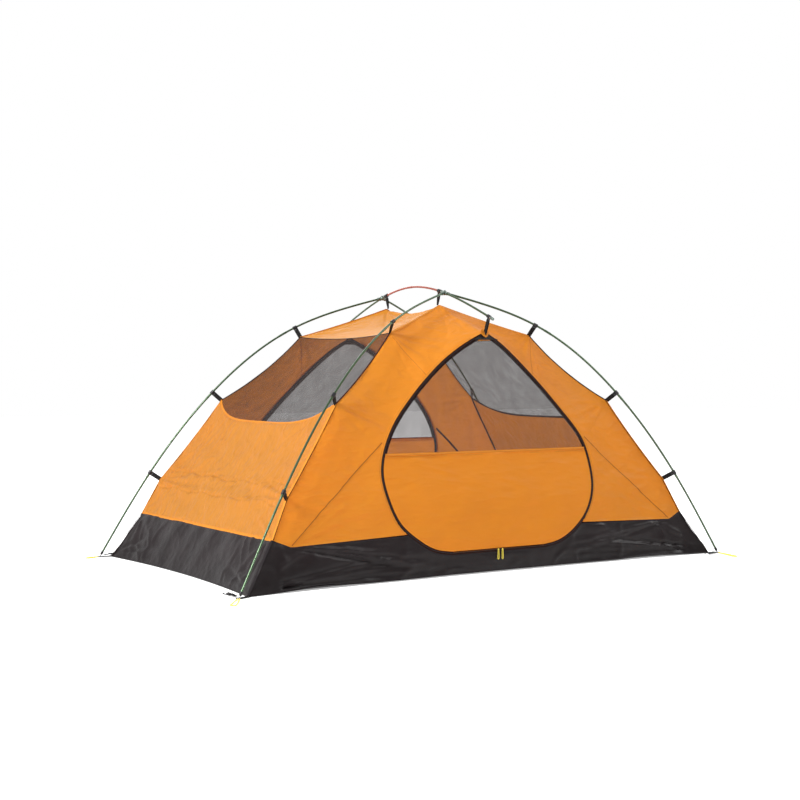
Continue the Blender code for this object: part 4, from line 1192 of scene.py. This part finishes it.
# -------------------------------------------------------------------------------------------- doors
def door_grid(sign_y, low, high, rows, columns=81):
    """Level rows across the door, from zip to zip, with a slight belly."""
    edge = door_outline(-ZIP_EDGE, 1, sign_y)
    part = cut_at_height(edge, low) if low > edge[0][2] else edge
    part = part[part[:, 2] < high]
    part = resample(np.vstack((part, cut_at_height(edge, high)[0])), rows)
    across = np.linspace(-1.0, 1.0, columns)
    grid = np.repeat(part[:, None, :], columns, axis=1)
    grid[:, :, 0] *= across[None, :]
    rise = np.clip((part[:, 2] - DOOR_PATH[0][2]) / BELLY_RISE, 0.0, 1.0)
    grid[:, :, 1] += sign_y * DOOR_BELLY * rise[:, None] * (1 - across ** 2)[None, :]
    return grid


def normal_of_door(sign_y):
    return np.array((0.0, sign_y, 0.25))


def make_doors(finishes):
    for side, sign_y in SIDES.items():
        body = "door_" + side
        cloth = door_grid(sign_y, 0.0, DOOR_HALF_LINE, 71, 121)
        left, right, low, high = rim_distances(cloth)
        near_zip = np.minimum(np.minimum(left, right), low)
        height = 0.0010 * ripple(cloth, 0.16, 61) + 0.0018 * folds(cloth, 0.20, 62, (0.4, 1.0, 1.6))
        along = np.arctan2(cloth[..., 2] - 0.3, cloth[..., 0]) * 20
        height += 0.0008 * np.sin(along * 2 + 2 * ripple(cloth, 0.2, 63)) * np.exp(-near_zip / 0.02)
        height -= 0.0016 * np.exp(-(high / 0.012) ** 2) * (1 + 0.5 * ripple(cloth, 0.06, 64))
        for sign_x in (-1, 1):
            height += fan(cloth, mirrored((0.49, 0.545, 0.46), sign_x, sign_y),
                          (0.0, 0.6 * sign_y, 0.30), (0.1 * sign_x, 0.6 * sign_y, 0.45), 5,
                          0.016, 0.0036, 65 + sign_x)
        cloth = raise_by(cloth, height, 0.010)
        make_sheet("door_lower_" + side, cloth, finishes["door"], body, "orange_cloth",
                   "door_cloth_" + side)
        net = door_grid(sign_y, DOOR_HALF_LINE, NET_TOP, 81)
        left, right, low, high = rim_distances(net)
        height = 0.0010 * ripple(net, 0.12, 71)
        height += fan(net, mirrored((0.0, 0.51, 0.92), 1, sign_y), (-0.3, 0.53 * sign_y, 0.55),
                      (0.3, 0.53 * sign_y, 0.55), 6, 0.014, 0.002, 72)
        net = raise_by(net, height, 0.012)
        make_sheet("door_upper_" + side, net, finishes["net"], body, "dark_mesh",
                   "door_mesh_" + side)
        hems = Shape()
        facing = normal_of_door(sign_y)
        half_line = cloth[-1] + facing * 0.0008
        hems.sweep(half_line, slab(0.009, 0.0012), 0, facing)
        hems.sweep(half_line - np.array((0.0, 0.0, 0.010)), slab(0.004, 0.0010), 0, facing)
        settle(hems.made("door_half_hem_" + side, [finishes["hem"]]), body, "orange_cloth")
        net_rim = Shape()
        for sign_x in (1, -1):
            rim = cut_at_height(door_outline(-ZIP_EDGE - 0.003, sign_x, sign_y), DOOR_HALF_LINE)
            net_rim.sweep(resample(rim[rim[:, 2] < 0.905], 120) + facing * 0.0004,
                          slab(0.006, 0.0006), 0, facing)
        settle(net_rim.made("door_net_rim_" + side, [finishes["net_hem"]]), body, "dark_mesh")


def make_zips(finishes):
    """Two woven tapes and a coil between them; the inner tape is sewn to the door."""
    tape = slab(TAPE_WIDTH, TAPE_THICK)
    for side, sign_y in SIDES.items():
        facing = normal_of_door(sign_y)
        middle = door_loop(0.0, sign_y)
        length = arc_lengths(middle)[-1]
        outer_tape = Shape()
        outer_tape.sweep(resample(door_loop(TAPE_WIDTH / 2 + 0.0004, sign_y), 420), tape, 0, facing)
        coil = resample(middle, int(length / COIL_PITCH * 4))
        beat = np.arange(len(coil)) % 4
        fat = np.where(beat < 2, 1.0, 0.72)
        outer_tape.sweep(coil + facing * 0.0006, circle(8) * COIL_RADIUS, 1, facing, fat)
        settle(outer_tape.made("zip_" + side, [finishes["tape"], finishes["coil"]], 60.0), "tent",
               "zip_tape", "door_zip_" + side)
        inner_tape = Shape()
        for sign_x in (1, -1):
            half = door_outline(-TAPE_WIDTH / 2 - 0.0004, sign_x, sign_y)
            inner_tape.sweep(resample(half[half[:, 2] < NET_TOP], 210), tape, 0, facing)
        settle(inner_tape.made("zip_inner_tape_" + side, [finishes["tape"]]), "door_" + side,
               "zip_tape")
        patch = Shape()
        outline = [(-0.020, -0.004), (-0.012, -0.017), (0.0, -0.024), (0.012, -0.017),
                   (0.020, -0.004), (0.014, 0.010), (0.0, 0.014), (-0.014, 0.010)]
        apex = mirrored((0.0, 0.516, 0.934), 1, sign_y)
        placed = frame_at(apex, (sign_y * -1.0, 0.0, 0.0), (0.0, sign_y, 0.45))
        patch.plate(outline, 0.0002, 0.0018, placed)
        settle(patch.made("apex_patch_" + side, [finishes["hem"]]), "tent", "orange_cloth")
        # a dark sheet a little way inside each door's apex: painted shade where the brow shades the top
        # of the door
        sides = [cut_at_height(door_outline(0.0, sign_x, sign_y), PAINTED_SHADE_LOW)
                 for sign_x in (-sign_y, sign_y)]
        rim = [placed.inverted() @ Vector(p) for p in (*sides[0][::-1][1:], *sides[1])]
        around = sum(a.x * b.y - b.x * a.y for a, b in zip(rim, rim[1:] + rim[:1]))
        rim = rim if around > 0 else rim[::-1]
        painted_shade_sheet = Shape()
        painted_shade_sheet.plate([(p.x, p.y) for p in rim], -PAINTED_SHADE_GAP - 0.0010, -PAINTED_SHADE_GAP, placed)
        settle(painted_shade_sheet.made("apex_painted_shade_sheet_" + side, [finishes["binding"]]), "tent", "black_webbing")


def make_sliders(finishes):
    """Two zip sliders that meet at the bottom of the door, each with a cord pull."""
    width, depth, height = SLIDER_SIZE
    for side, sign_y in SIDES.items():
        for end, sign_x in ENDS.items():
            centre = Vector((SLIDER_X * sign_x, (SLIDER_FACE + depth / 2) * sign_y, DOOR_PATH[0][2]))
            placed = Matrix.Translation(centre) @ Matrix.Rotation(math.pi / 2, 4, "X")
            half, tall = width / 2, height / 2
            outline = [(-half, -tall * 0.55), (-half * 0.6, -tall), (half * 0.5, -tall * 0.9),
                       (half, -tall * 0.45), (half, tall * 0.45), (half * 0.5, tall * 0.9),
                       (-half * 0.6, tall), (-half, tall * 0.55)]
            outline = [(x * sign_x, z) for x, z in outline]
            slider = Shape()
            slider.plate(outline, -depth / 2, -depth / 2 + 0.0013, placed)
            slider.plate(outline, depth / 2 - 0.0013, depth / 2, placed)
            slider.plate([(x * 0.5, z * 0.4) for x, z in outline], -depth / 2 + 0.001,
                         depth / 2 - 0.001, placed)
            bridge = [centre + Vector((x, sign_y * y, z)) for x, y, z in
                      ((0.0, 0.0012, -0.0028), (0.0, 0.0026, -0.0018), (0.0, 0.0030, 0.0006),
                       (0.0, 0.0030, 0.0026), (0.0, 0.0018, 0.0040))]
            slider.sweep(smooth_curve(bridge, 16), circle(8) * 0.0008)
            settle(slider.made(f"slider_body_{side}_{end}", [finishes["plastic"]]),
                   f"slider_{side}_{end}", "black_plastic", f"zip_slider_{side}_{end}")
            top = centre + Vector((0.0, (depth / 2 + PULL_CORD / 2 + PULL_GAP) * sign_y, tall))
            ring_half = PULL_WIDTH / 2 - PULL_CORD / 2
            ring = []
            for k in range(12):
                turn = math.pi * k / 11
                ring.append(top + Vector((ring_half * math.cos(turn) * 0.7, 0.0,
                                          ring_half * (math.sin(turn) - 1))))
            for k in range(8):
                share = (k + 1) / 9
                ring.append(top + Vector((-ring_half * (0.7 + 0.3 * share), 0.0,
                                          -ring_half - (PULL_LENGTH - 4 * ring_half) * share)))
            for k in range(12):
                turn = math.pi + math.pi * k / 11
                ring.append(top + Vector((ring_half * math.cos(turn), 0.0,
                                          ring_half * (math.sin(turn) + 1) - PULL_LENGTH)))
            for k in range(8):
                share = 1 - (k + 1) / 9
                ring.append(top + Vector((ring_half * (0.7 + 0.3 * share), 0.0,
                                          -ring_half - (PULL_LENGTH - 4 * ring_half) * share)))
            pull = Shape()
            pull.sweep(np.array(ring), circle(8) * (PULL_CORD / 2), 0, (0.0, 1.0, 0.0), looped=True)
            settle(pull.made(f"pull_cord_{side}_{end}", [finishes["cord"]]),
                   f"pull_{side}_{end}", "yellow_cord", f"zip_pull_{side}_{end}")


# --------------------------------------------------------------------------------------------- tub
def tub_top_side(sign_y):
    """The tub's top line along one long side, left to right, dipping under the door."""
    outline = door_outline(ZIP_EDGE, 1, sign_y)
    under_door = resample(outline[outline[:, 2] < TUB_DOOR_Z], 40)
    kink, corner = mirrored(TUB_KINK, 1, sign_y), mirrored(TUB_CORNER, 1, sign_y)
    middle = np.linspace((0.0, under_door[0][1], under_door[0][2]), under_door[0], 24)[1:-1]
    run = np.linspace(under_door[-1], kink, 56)[1:-1]
    rise = np.linspace(kink, corner, 12)
    half = np.vstack((middle, under_door, run, rise))
    left = half[::-1] * np.array((-1.0, 1.0, 1.0))
    return np.vstack((left, half))


def tub_grid():
    """The tub's wall all the way round: one row of points up it at each place."""
    tops, floors = [], []
    for sign_y in (-1, 1):
        top = tub_top_side(sign_y)
        xs = top[:, 0] * FLOOR_CORNER[0] / TUB_CORNER[0]
        bow = 1 - (xs / FLOOR_CORNER[0]) ** 2
        lift = 0.005 * bow + 0.010 * np.exp(-((np.abs(xs) - 0.80) / 0.13) ** 2)
        floor = np.column_stack((xs, (FLOOR_CORNER[1] - FLOOR_SIDE_DRAW * bow) * sign_y, lift))
        across = np.linspace(-1.0, 1.0, 152)[1:-1]
        end = end_lines(-sign_y, 152)[0][1:-1]
        end_floor = np.column_stack((-sign_y * (FLOOR_CORNER[0] - FLOOR_END_DRAW * (1 - across ** 2)),
                                     FLOOR_CORNER[1] * across, 0.003 * (1 - across ** 2)))
        order = slice(None) if sign_y < 0 else slice(None, None, -1)
        tops += [*top[order], *end[order]]
        floors += [*floor[order], *end_floor[order]]
    tops, floors = np.array(tops), np.array(floors)
    tops, floors = np.vstack((tops, tops[:1])), np.vstack((floors, floors[:1]))
    up = np.linspace(0.0, 1.0, 29)[:, None, None]
    return floors[None] * (1 - up) + tops[None] * up


def tub_creases(grid):
    """Long pulls from the corners along the sides, pleats beside the corners at the ends."""
    height = 0.0020 * ripple(grid, 0.20, 81) + 0.0003 * ripple(grid, 0.05, 82)
    x, y = np.abs(grid[..., 0]), np.abs(grid[..., 1])
    ends = smooth_step((x - 0.955) / 0.02)
    height += 0.0034 * folds(grid, 0.22, 84, (1.0, 1.0, 1.4)) * (1 - 0.8 * ends)
    for sign_x in (-1, 1):
        for sign_y in (-1, 1):
            seed = 90 + 2 * sign_x + sign_y

            def at(x, y, z):
                return (x * sign_x, y * sign_y, z)

            long_side = (1 - ends) * (grid[..., 1] * sign_y > 0)
            pulls = fan(grid, at(1.10, 0.63, 0.02), at(0.10, 0.6, 0.02), at(0.30, 0.6, 0.14), 7,
                        0.020, 0.0150, seed)
            pulls += fan(grid, at(*TUB_KINK), at(0.25, 0.6, 0.00), at(0.20, 0.6, 0.09), 4,
                         0.016, 0.0110, seed + 1)
            pulls += crease(grid, at(1.10, 0.63, 0.02), at(0.80, 0.6, 0.17), 0.016, 0.010)
            height += pulls * long_side
            short_side = ends * (grid[..., 0] * sign_x > 0)
            pulls = fan(grid, at(1.1, 0.64, 0.01), at(1.0, 0.34, 0.17), at(1.0, 0.10, 0.06), 4,
                        0.020, 0.0060, seed + 2, YZ)
            pulls += fan(grid, at(1.0, 0.56, 0.175), at(1.1, 0.42, 0.01), at(1.1, 0.62, 0.00), 3,
                         0.016, 0.0060, seed + 3, YZ)
            height += pulls * short_side
    pleats = folds(grid, 0.075, 85, (1.0, 1.0, 0.04))
    place = np.exp(-((y - 0.44) / 0.12) ** 2)
    return height + 0.0050 * pleats * place * ends


def make_tub(finishes):
    grid = tub_grid()
    low = rim_distances(grid)[2]
    high = rim_distances(grid)[3]
    fade = smooth_step(high / 0.016) * (0.35 + 0.65 * smooth_step(low / 0.03))
    wall = grid + outward(grid) * (tub_creases(grid) * fade)[..., None]
    wall[:, -1] = wall[:, 0]
    wall[..., 2] = np.maximum(wall[..., 2], 0.0006)
    shape = Shape()
    along = np.cumsum(np.concatenate(([0.0], np.linalg.norm(np.diff(grid[0], axis=0), axis=1))))
    flat = np.stack(np.broadcast_arrays(along[None, :], low), axis=-1)
    shape.surface(wall, flat)
    rim = wall[0, :-1]
    centre = np.array((0.0, 0.0, 0.0012))
    shares = np.linspace(1.0, 0.0, 40)[:-1]
    rings = np.array([centre + (rim - centre) * share for share in shares])
    rings[1:, :, 2] = 0.0012 + 0.0008 * ripple(rings[1:], 0.25, 83) ** 2 * (1 - shares[1:, None])
    rings[..., 2] = np.maximum(rings[..., 2], 0.0006)
    rings[1, :, 2] = np.maximum(0.0012, rings[0, :, 2] * 0.5)
    floor = np.concatenate((rings, rings[:, :1]), axis=1)
    shape.surface(floor, floor[..., :2])
    middle = floor[-1, :-1]
    shape.add(middle, [tuple(range(len(middle)))], [tuple(tuple(p[:2]) for p in middle)])
    piece = shape.made("groundsheet", [finishes["tub"]], sharp=60.0, closed=False)
    joined = bmesh.new()
    joined.from_mesh(piece.data)
    bmesh.ops.remove_doubles(joined, verts=joined.verts, dist=0.00002)
    joined.to_mesh(piece.data)
    joined.free()
    settle(piece, "tent", "charcoal_cloth", "tub_floor")
    rim_tape = Shape()
    normals = outward(grid)
    top = wall[-1, :-1] + normals[-1, :-1] * 0.0008
    rim_tape.sweep(top - np.array((0.0, 0.0, 0.003)), slab(0.006, 0.0010), 0, normals[-1, :-1],
                   looped=True)
    for sign_x in (-1, 1):
        for sign_y in (-1, 1):
            path = resample([mirrored(FLOOR_CORNER, sign_x, sign_y) + (0, 0, 0.002),
                             mirrored(TUB_CORNER, sign_x, sign_y)], 40)
            facing = np.array((sign_x, 0.6 * sign_y, 0.35))
            rim_tape.sweep(path + facing * 0.0006, slab(0.010, 0.0014), 0, facing)
    settle(rim_tape.made("groundsheet_seams", [finishes["tub_seam"]]), "tent", "charcoal_cloth")


# ------------------------------------------------------------------------------------ poles and hubs
def pole_rings(path, joints, spacing=0.012):
    """Where a pole's rings go and how wide each is, with a step and a groove at each joint."""
    length = arc_lengths(path)[-1]
    near = (-0.0010, -0.0005, 0.0005, 0.0010, 0.036, 0.038)
    places = list(np.arange(0.0, length, spacing)) + [length]
    places += [joint * length + offset for joint in joints for offset in near]
    places = np.array(sorted(p for p in places if 0.0 <= p <= length))
    radius = np.full(len(places), POLE_RADIUS)
    for joint in joints:
        from_joint = places - joint * length
        radius[(from_joint >= 0.0005) & (from_joint <= 0.0365)] = POLE_RADIUS + 0.0005
        radius[np.abs(from_joint) < 0.00075] = POLE_RADIUS - 0.0006
    return at_lengths(path, places), radius


def make_poles(finishes):
    for name, (sign_x, sign_y, _, _) in CORNERS.items():
        path = leg_stations(sign_x, sign_y, 300)
        length = arc_lengths(path)[-1]
        body = at_lengths(path, np.linspace(0.0, length - 0.016, 300))
        pole = Shape()
        rings, radius = pole_rings(body, POLE_JOINTS)
        pole.sweep(rings, circle(16), 0, None, radius)
        end = body[-1]
        down = unit(path[-1] - path[-12])
        pole.turned(end, down, ((-0.006, 0.0044), (-0.006, 0.0052), (0.006, 0.0052),
                                (0.007, 0.0046), (0.009, 0.0030)), 1)
        pole.turned(end, down, ((0.008, 0.0026), (0.0145, 0.0024), (0.0165, 0.0014),
                                (0.0170, 0.0002)), 2)
        settle(pole.made("pole_" + name, [finishes["pole"], finishes["plastic"],
                                          finishes["steel"]]),
               "tent", "green_pole", "leg_pole_" + name)
    for side, sign_y in SIDES.items():
        path = brow_stations(sign_y, 60)
        pole = Shape()
        pole.sweep(path, circle(16) * POLE_RADIUS)
        tip, out = path[-1], unit(path[-1] - path[-4])
        pole.turned(tip, out, ((-0.012, 0.0046), (-0.012, 0.0055), (0.001, 0.0057), (0.0035, 0.0050),
                               (0.0055, 0.0030), (0.0062, 0.0005)), 1)
        pole.turned(tip, out, ((-0.0155, 0.0044), (-0.0155, 0.0060), (-0.0130, 0.0060),
                               (-0.0130, 0.0044)), 2)
        settle(pole.made("brow_rod_" + side, [finishes["pole"], finishes["hub"],
                                              finishes["steel"]]),
               "tent", "green_pole", "brow_pole_" + side)
    ridge = Shape()
    rings, radius = pole_rings(ridge_stations(120), (0.5,))
    ridge.sweep(rings, circle(16), 0, None, radius)
    settle(ridge.made("ridge_rod", [finishes["red_pole"]]), "tent", "red_pole", "ridge_pole")


def ball_profile(radius, steps=12):
    turns = np.linspace(0.0, math.pi, steps)
    return [(-radius * math.cos(a), radius * math.sin(a)) for a in turns]


def make_hubs(finishes):
    for side, sign_y in SIDES.items():
        centre = mirrored(HUB, 1, sign_y)
        ridge = ridge_curve()
        nearest = int(np.argmin(np.linalg.norm(ridge - centre, axis=1)))
        along_ridge = unit(ridge[nearest + 4] - ridge[nearest - 4])
        legs = [leg_curve(sign_x, sign_y) for sign_x in (-1, 1)]
        arms = [unit(leg[8] - leg[0]) for leg in legs] + [along_ridge, -along_ridge]
        hub = Shape()
        hub.turned(centre, (0, 0, 1), ball_profile(HUB_BALL_RADIUS, 16), 0, 28)
        hub.turned(centre, (0, 0, 1), ((0.0085, 0.0048), (0.0108, 0.0048), (0.0112, 0.0042),
                                       (0.0112, 0.0020), (0.0104, 0.0016)), 1, 6)
        for arm in arms:
            r = HUB_ARM_RADIUS
            hub.turned(centre, arm, ((0.004, r * 0.9), (0.0105, r * 0.9), (0.0115, r),
                                     (HUB_ARM - 0.004, r), (HUB_ARM - 0.003, r * 1.06),
                                     (HUB_ARM - 0.001, r * 1.06), (HUB_ARM, r * 0.97),
                                     (HUB_ARM, 0.0046), (HUB_ARM - 0.002, 0.0045)))
        settle(hub.made("hub_body_" + side, [finishes["hub"], finishes["steel"]]), "tent",
               "hub_metal", "hub_" + side)


# --------------------------------------------------------------------------------------------- clips
def hook_outline():
    """A hook round the pole with a turned-out lip, and a short neck along +X."""
    outer = CLIP_BORE + CLIP_WALL
    neck = 0.0014
    root = math.asin(neck / outer)
    points = [(outer + 0.0075, neck), (outer + 0.0035, neck)]
    for k in range(25):
        turn = root + 0.25 + (CLIP_JAW_END - root - 0.25) * k / 24
        points.append((outer * math.cos(turn), outer * math.sin(turn)))
    lip = (math.cos(CLIP_JAW_END + 0.12), math.sin(CLIP_JAW_END + 0.12))
    points.append((lip[0] * (outer + 0.0012), lip[1] * (outer + 0.0012)))
    points.append((lip[0] * (CLIP_BORE + 0.0006), lip[1] * (CLIP_BORE + 0.0006)))
    for k in range(21):
        turn = CLIP_JAW_END - (CLIP_JAW_END - root) * k / 20
        points.append((CLIP_BORE * math.cos(turn), CLIP_BORE * math.sin(turn)))
    points.append((outer + 0.0020, -neck))
    points.append((outer + 0.0075, -neck))
    return points


def make_clip(name, node, pole_point, pole_direction, cloth_point, finishes, taper=1.0):
    """A moulded hook, and a strap that goes round its bar and is sewn to the cloth."""
    reach = Vector(cloth_point) - Vector(pole_point)
    direction = Vector(pole_direction).normalized()
    across = reach - direction * reach.dot(direction)
    placed = frame_at(pole_point, across, direction)
    length = across.length
    clip = Shape()
    clip.plate(hook_outline(), -CLIP_WIDTH / 2, CLIP_WIDTH / 2, placed, 0, 0.0007)
    bar_x = CLIP_BORE + CLIP_WALL + 0.0088
    bar = [placed @ Vector((bar_x, 0.0, z)) for z in np.linspace(-CLIP_WIDTH / 2, CLIP_WIDTH / 2, 5)]
    clip.sweep(np.array(bar), circle(12) * 0.0017)
    for end in (-1, 1):
        cheek = [placed @ Vector((x, 0.0, end * (CLIP_WIDTH / 2 - 0.0008)))
                 for x in np.linspace(bar_x - 0.004, bar_x, 4)]
        clip.sweep(np.array(cheek), slab(0.0016, 0.0030), 0, placed.col[1].to_3d())
    route = []
    for x, y in ((length + 0.002, 0.0007), (length - 0.008, 0.0009), (bar_x + 0.006, 0.0019)):
        route.append((x, y))
    for turn in np.radians((60, 95, 130, 180, 230, 265, 300)):
        route.append((bar_x + 0.0025 * math.cos(turn), 0.0025 * math.sin(turn)))
    for x, y in ((bar_x + 0.006, -0.0019), (length - 0.008, -0.0009), (length - 0.001, -0.0007)):
        route.append((x, y))
    strap = smooth_curve([placed @ Vector((x, y, 0.0)) for x, y in route], 60)
    shares = np.linspace(-1.0, 1.0, 60)
    width = 1.0 + (taper - 1.0) * np.abs(shares) ** 1.5
    clip.sweep(strap, slab(STRAP_WIDTH, WEBBING_THICK), 1, None, width,
               placed.col[1].to_3d())
    sewn = [placed @ Vector((x, 0.0016, 0.0)) for x in (length - 0.0075, length - 0.0060)]
    clip.sweep(np.array(sewn), slab(WEBBING * 0.72 * taper, 0.0009), 1, placed.col[1].to_3d())
    settle(clip.made(name, [finishes["plastic"], finishes["webbing"]]), "tent", "black_webbing",
           node)


def clip_on(name, node, stations, cloth_point, finishes, taper=1.0):
    """A clip where a pole passes closest to a point of the cloth."""
    path = resample(stations, 400)
    nearest = int(np.argmin(np.linalg.norm(path - np.asarray(cloth_point), axis=1)))
    nearest = min(max(nearest, CLIP_END_ROOM), len(path) - 1 - CLIP_END_ROOM)
    direction = path[nearest + 2] - path[nearest - 2]
    make_clip(name, node, path[nearest], direction, cloth_point, finishes, taper)


def make_clips(finishes):
    for name, (sign_x, sign_y, _, _) in CORNERS.items():
        stations = leg_stations(sign_x, sign_y)
        for level, stop in (("low", FOLD_LOW), ("middle", FOLD_MID), ("high", FOLD_HIGH)):
            clip_on(f"hook_{name}_{level}", f"clip_{name}_{level}", stations,
                    mirrored(stop, sign_x, sign_y), finishes)
    ridge = resample(ridge_stations(), 400)
    for side, sign_y in SIDES.items():
        inner = ridge[np.abs(ridge[:, 1]) < HUB[1] - HUB_ARM - CLIP_WIDTH / 2 - 0.0005]
        clip_on("hub_hook_" + side, "hub_clip_" + side, inner, mirrored(ROOF_PEAK, 1, sign_y),
                finishes, 0.6)
        clip_on("brow_hook_" + side, "brow_strap_" + side, brow_stations(sign_y),
                mirrored(DOOR_APEX, 1, sign_y), finishes)


# ------------------------------------------------------------------------------------------- corners
def make_corner(name, sign_x, sign_y, buckle_aim, finishes):
    foot = mirrored(LEG_PATH[0], sign_x, sign_y)
    corner = mirrored(FLOOR_CORNER, sign_x, sign_y)
    foot[2] = corner[2] = 0.0
    inward = Vector(corner - foot)
    placed = frame_at(foot, inward, UP)
    tab = Shape()
    turns = np.linspace(math.pi / 2, 3 * math.pi / 2, 17)
    rounded = [(TAB_END_RADIUS * math.cos(a), TAB_END_RADIUS * math.sin(a)) for a in turns]
    length = inward.length + 0.004
    ring_turns = np.linspace(math.pi, -math.pi, 33)
    rim = [(TAB_HOLE * math.cos(a), TAB_HOLE * math.sin(a)) for a in ring_turns]
    outline = rounded[8:] + [(length, -TAB_WIDTH / 2), (length, TAB_WIDTH / 2)] + rounded[:9] + rim
    tab.plate(outline, 0.0012, 0.0030, placed, 0, 0.0002)
    eyelet = ((0.0006, TAB_HOLE + 0.0022), (0.0036, TAB_HOLE + 0.0022), (0.0043, TAB_HOLE + 0.0012),
              (0.0043, TAB_HOLE - 0.0002), (0.0036, TAB_HOLE - 0.0007), (0.0006, TAB_HOLE - 0.0007))
    turn = np.linspace(0.0, 2 * math.pi, 33)[:-1]
    circle_path = np.array([placed @ Vector((math.cos(a), math.sin(a), 0.0)) * 1.0 for a in turn])
    centre = np.array(placed.translation)
    section = np.array([(z, r) for z, r in eyelet])
    rings = (centre + (circle_path - centre)[:, None, :] * section[None, :, 1:2]
             + np.array((0.0, 0.0, 1.0)) * section[None, :, 0:1])
    count, sides = len(turn), len(section)
    faces, flat = [], []
    for i in range(count):
        for k in range(sides):
            m, after = (k + 1) % sides, (i + 1) % count
            faces.append((i * sides + k, i * sides + m, after * sides + m, after * sides + k))
            flat.append(((i * 0.001, k * 0.001), (i * 0.001, m * 0.001),
                         (after * 0.001, m * 0.001), (after * 0.001, k * 0.001)))
    tab.add(rings.reshape(-1, 3), faces, flat, 1)
    for x in (inward.length - 0.010, inward.length - 0.004):
        bar = [placed @ Vector((x, y, 0.0033)) for y in np.linspace(-0.008, 0.008, 9)]
        tab.sweep(np.array(bar), slab(0.0014, 0.0006), 0, (0.0, 0.0, 1.0))
    settle(tab.made("tab_" + name, [finishes["webbing"], finishes["steel"]]), "tent",
           "black_webbing", "corner_tab_" + name)

    aim = Vector((*buckle_aim, 0.0)).normalized()
    placed = frame_at(Vector(foot) + aim * BUCKLE_START, aim, UP)
    neck = BUCKLE_STRAP - BUCKLE_START
    shoulder, end = neck + BUCKLE_BODY, neck + BUCKLE_BODY + BUCKLE_PRONG
    half = BUCKLE_WIDTH / 2
    buckle = Shape()
    strap_route = [(0.0, 0.0062), (0.02, 0.0066), (0.045, 0.0060), (neck - 0.004, 0.0062),
                   (neck + 0.003, 0.0064)]
    strap = smooth_curve([placed @ Vector((x, 0.0, z)) for x, z in strap_route], 40)
    buckle.sweep(strap, slab(WEBBING, 0.0013), 1, (0.0, 0.0, 1.0))
    fold_back = smooth_curve([placed @ Vector((x, 0.0, z)) for x, z in
                              ((neck + 0.003, 0.0064), (neck + 0.004, 0.0078), (neck - 0.004, 0.0082),
                               (neck - 0.018, 0.0079), (neck - 0.026, 0.0076))], 24)
    buckle.sweep(fold_back, slab(WEBBING, 0.0013), 1, None, 1.0, (0.0, 0.0, 1.0))
    frame_bars = (((neck, -half), (neck, half)), ((shoulder, -half), (shoulder, half)),
                  ((neck + 0.008, -half), (neck + 0.008, half)))
    for (x0, y0), (x1, y1) in frame_bars:
        bar = [placed @ Vector((x0 + (x1 - x0) * t, y0 + (y1 - y0) * t, 0.0068))
               for t in np.linspace(0.06, 0.94, 7)]
        buckle.sweep(np.array(bar), circle(10) * np.array((0.0022, 0.0017)), 0, (0.0, 0.0, 1.0))
    for side in (-1, 1):
        cheek = [placed @ Vector((x, side * (half - 0.0016), 0.0068))
                 for x in np.linspace(neck - 0.001, shoulder + 0.001, 6)]
        buckle.sweep(np.array(cheek), circle(10) * np.array((0.0026, 0.0016)), 0, (0.0, 0.0, 1.0))
        prong = [(shoulder, half - 0.0030), (shoulder + 0.008, half - 0.0012),
                 (end - 0.012, half - 0.0005), (end - 0.004, half - 0.0016), (end, half - 0.0048)]
        path = smooth_curve([placed @ Vector((x, side * y, 0.0068)) for x, y in prong], 24)
        taper = np.interp(np.linspace(0, 1, 24), (0.0, 0.55, 0.75, 0.9, 1.0),
                          (0.9, 0.85, 1.35, 1.2, 0.5))
        buckle.sweep(path, circle(10) * np.array((0.0024, 0.0019)), 0, (0.0, 0.0, 1.0), taper)
    tongue = [placed @ Vector((x, 0.0, 0.0068)) for x in np.linspace(shoulder, end - 0.006, 16)]
    taper = np.interp(np.linspace(0, 1, 16), (0.0, 0.8, 1.0), (1.0, 0.9, 0.4))
    buckle.sweep(np.array(tongue), circle(10) * np.array((0.0020, 0.0022)), 0, (0.0, 0.0, 1.0),
                 taper)
    settle(buckle.made("buckle_plug_" + name, [finishes["plastic"], finishes["webbing"]]),
           "buckle_" + name, "black_plastic", "fly_buckle_" + name)


# ----------------------------------------------------------------------------------------- the tent
def main():
    finishes = make_finishes()
    make_camera()
    make_peg_loops(finishes)
    make_studio()
    walls = make_walls(finishes)
    make_ends(finishes)
    make_inner_bindings(finishes, walls)
    make_fold_seams(finishes)
    make_roof(finishes)
    make_doors(finishes)
    make_zips(finishes)
    make_sliders(finishes)
    make_tub(finishes)
    make_poles(finishes)
    make_hubs(finishes)
    make_clips(finishes)
    for name, (sign_x, sign_y, aim, _) in CORNERS.items():
        make_corner(name, sign_x, sign_y, aim, finishes)


main()
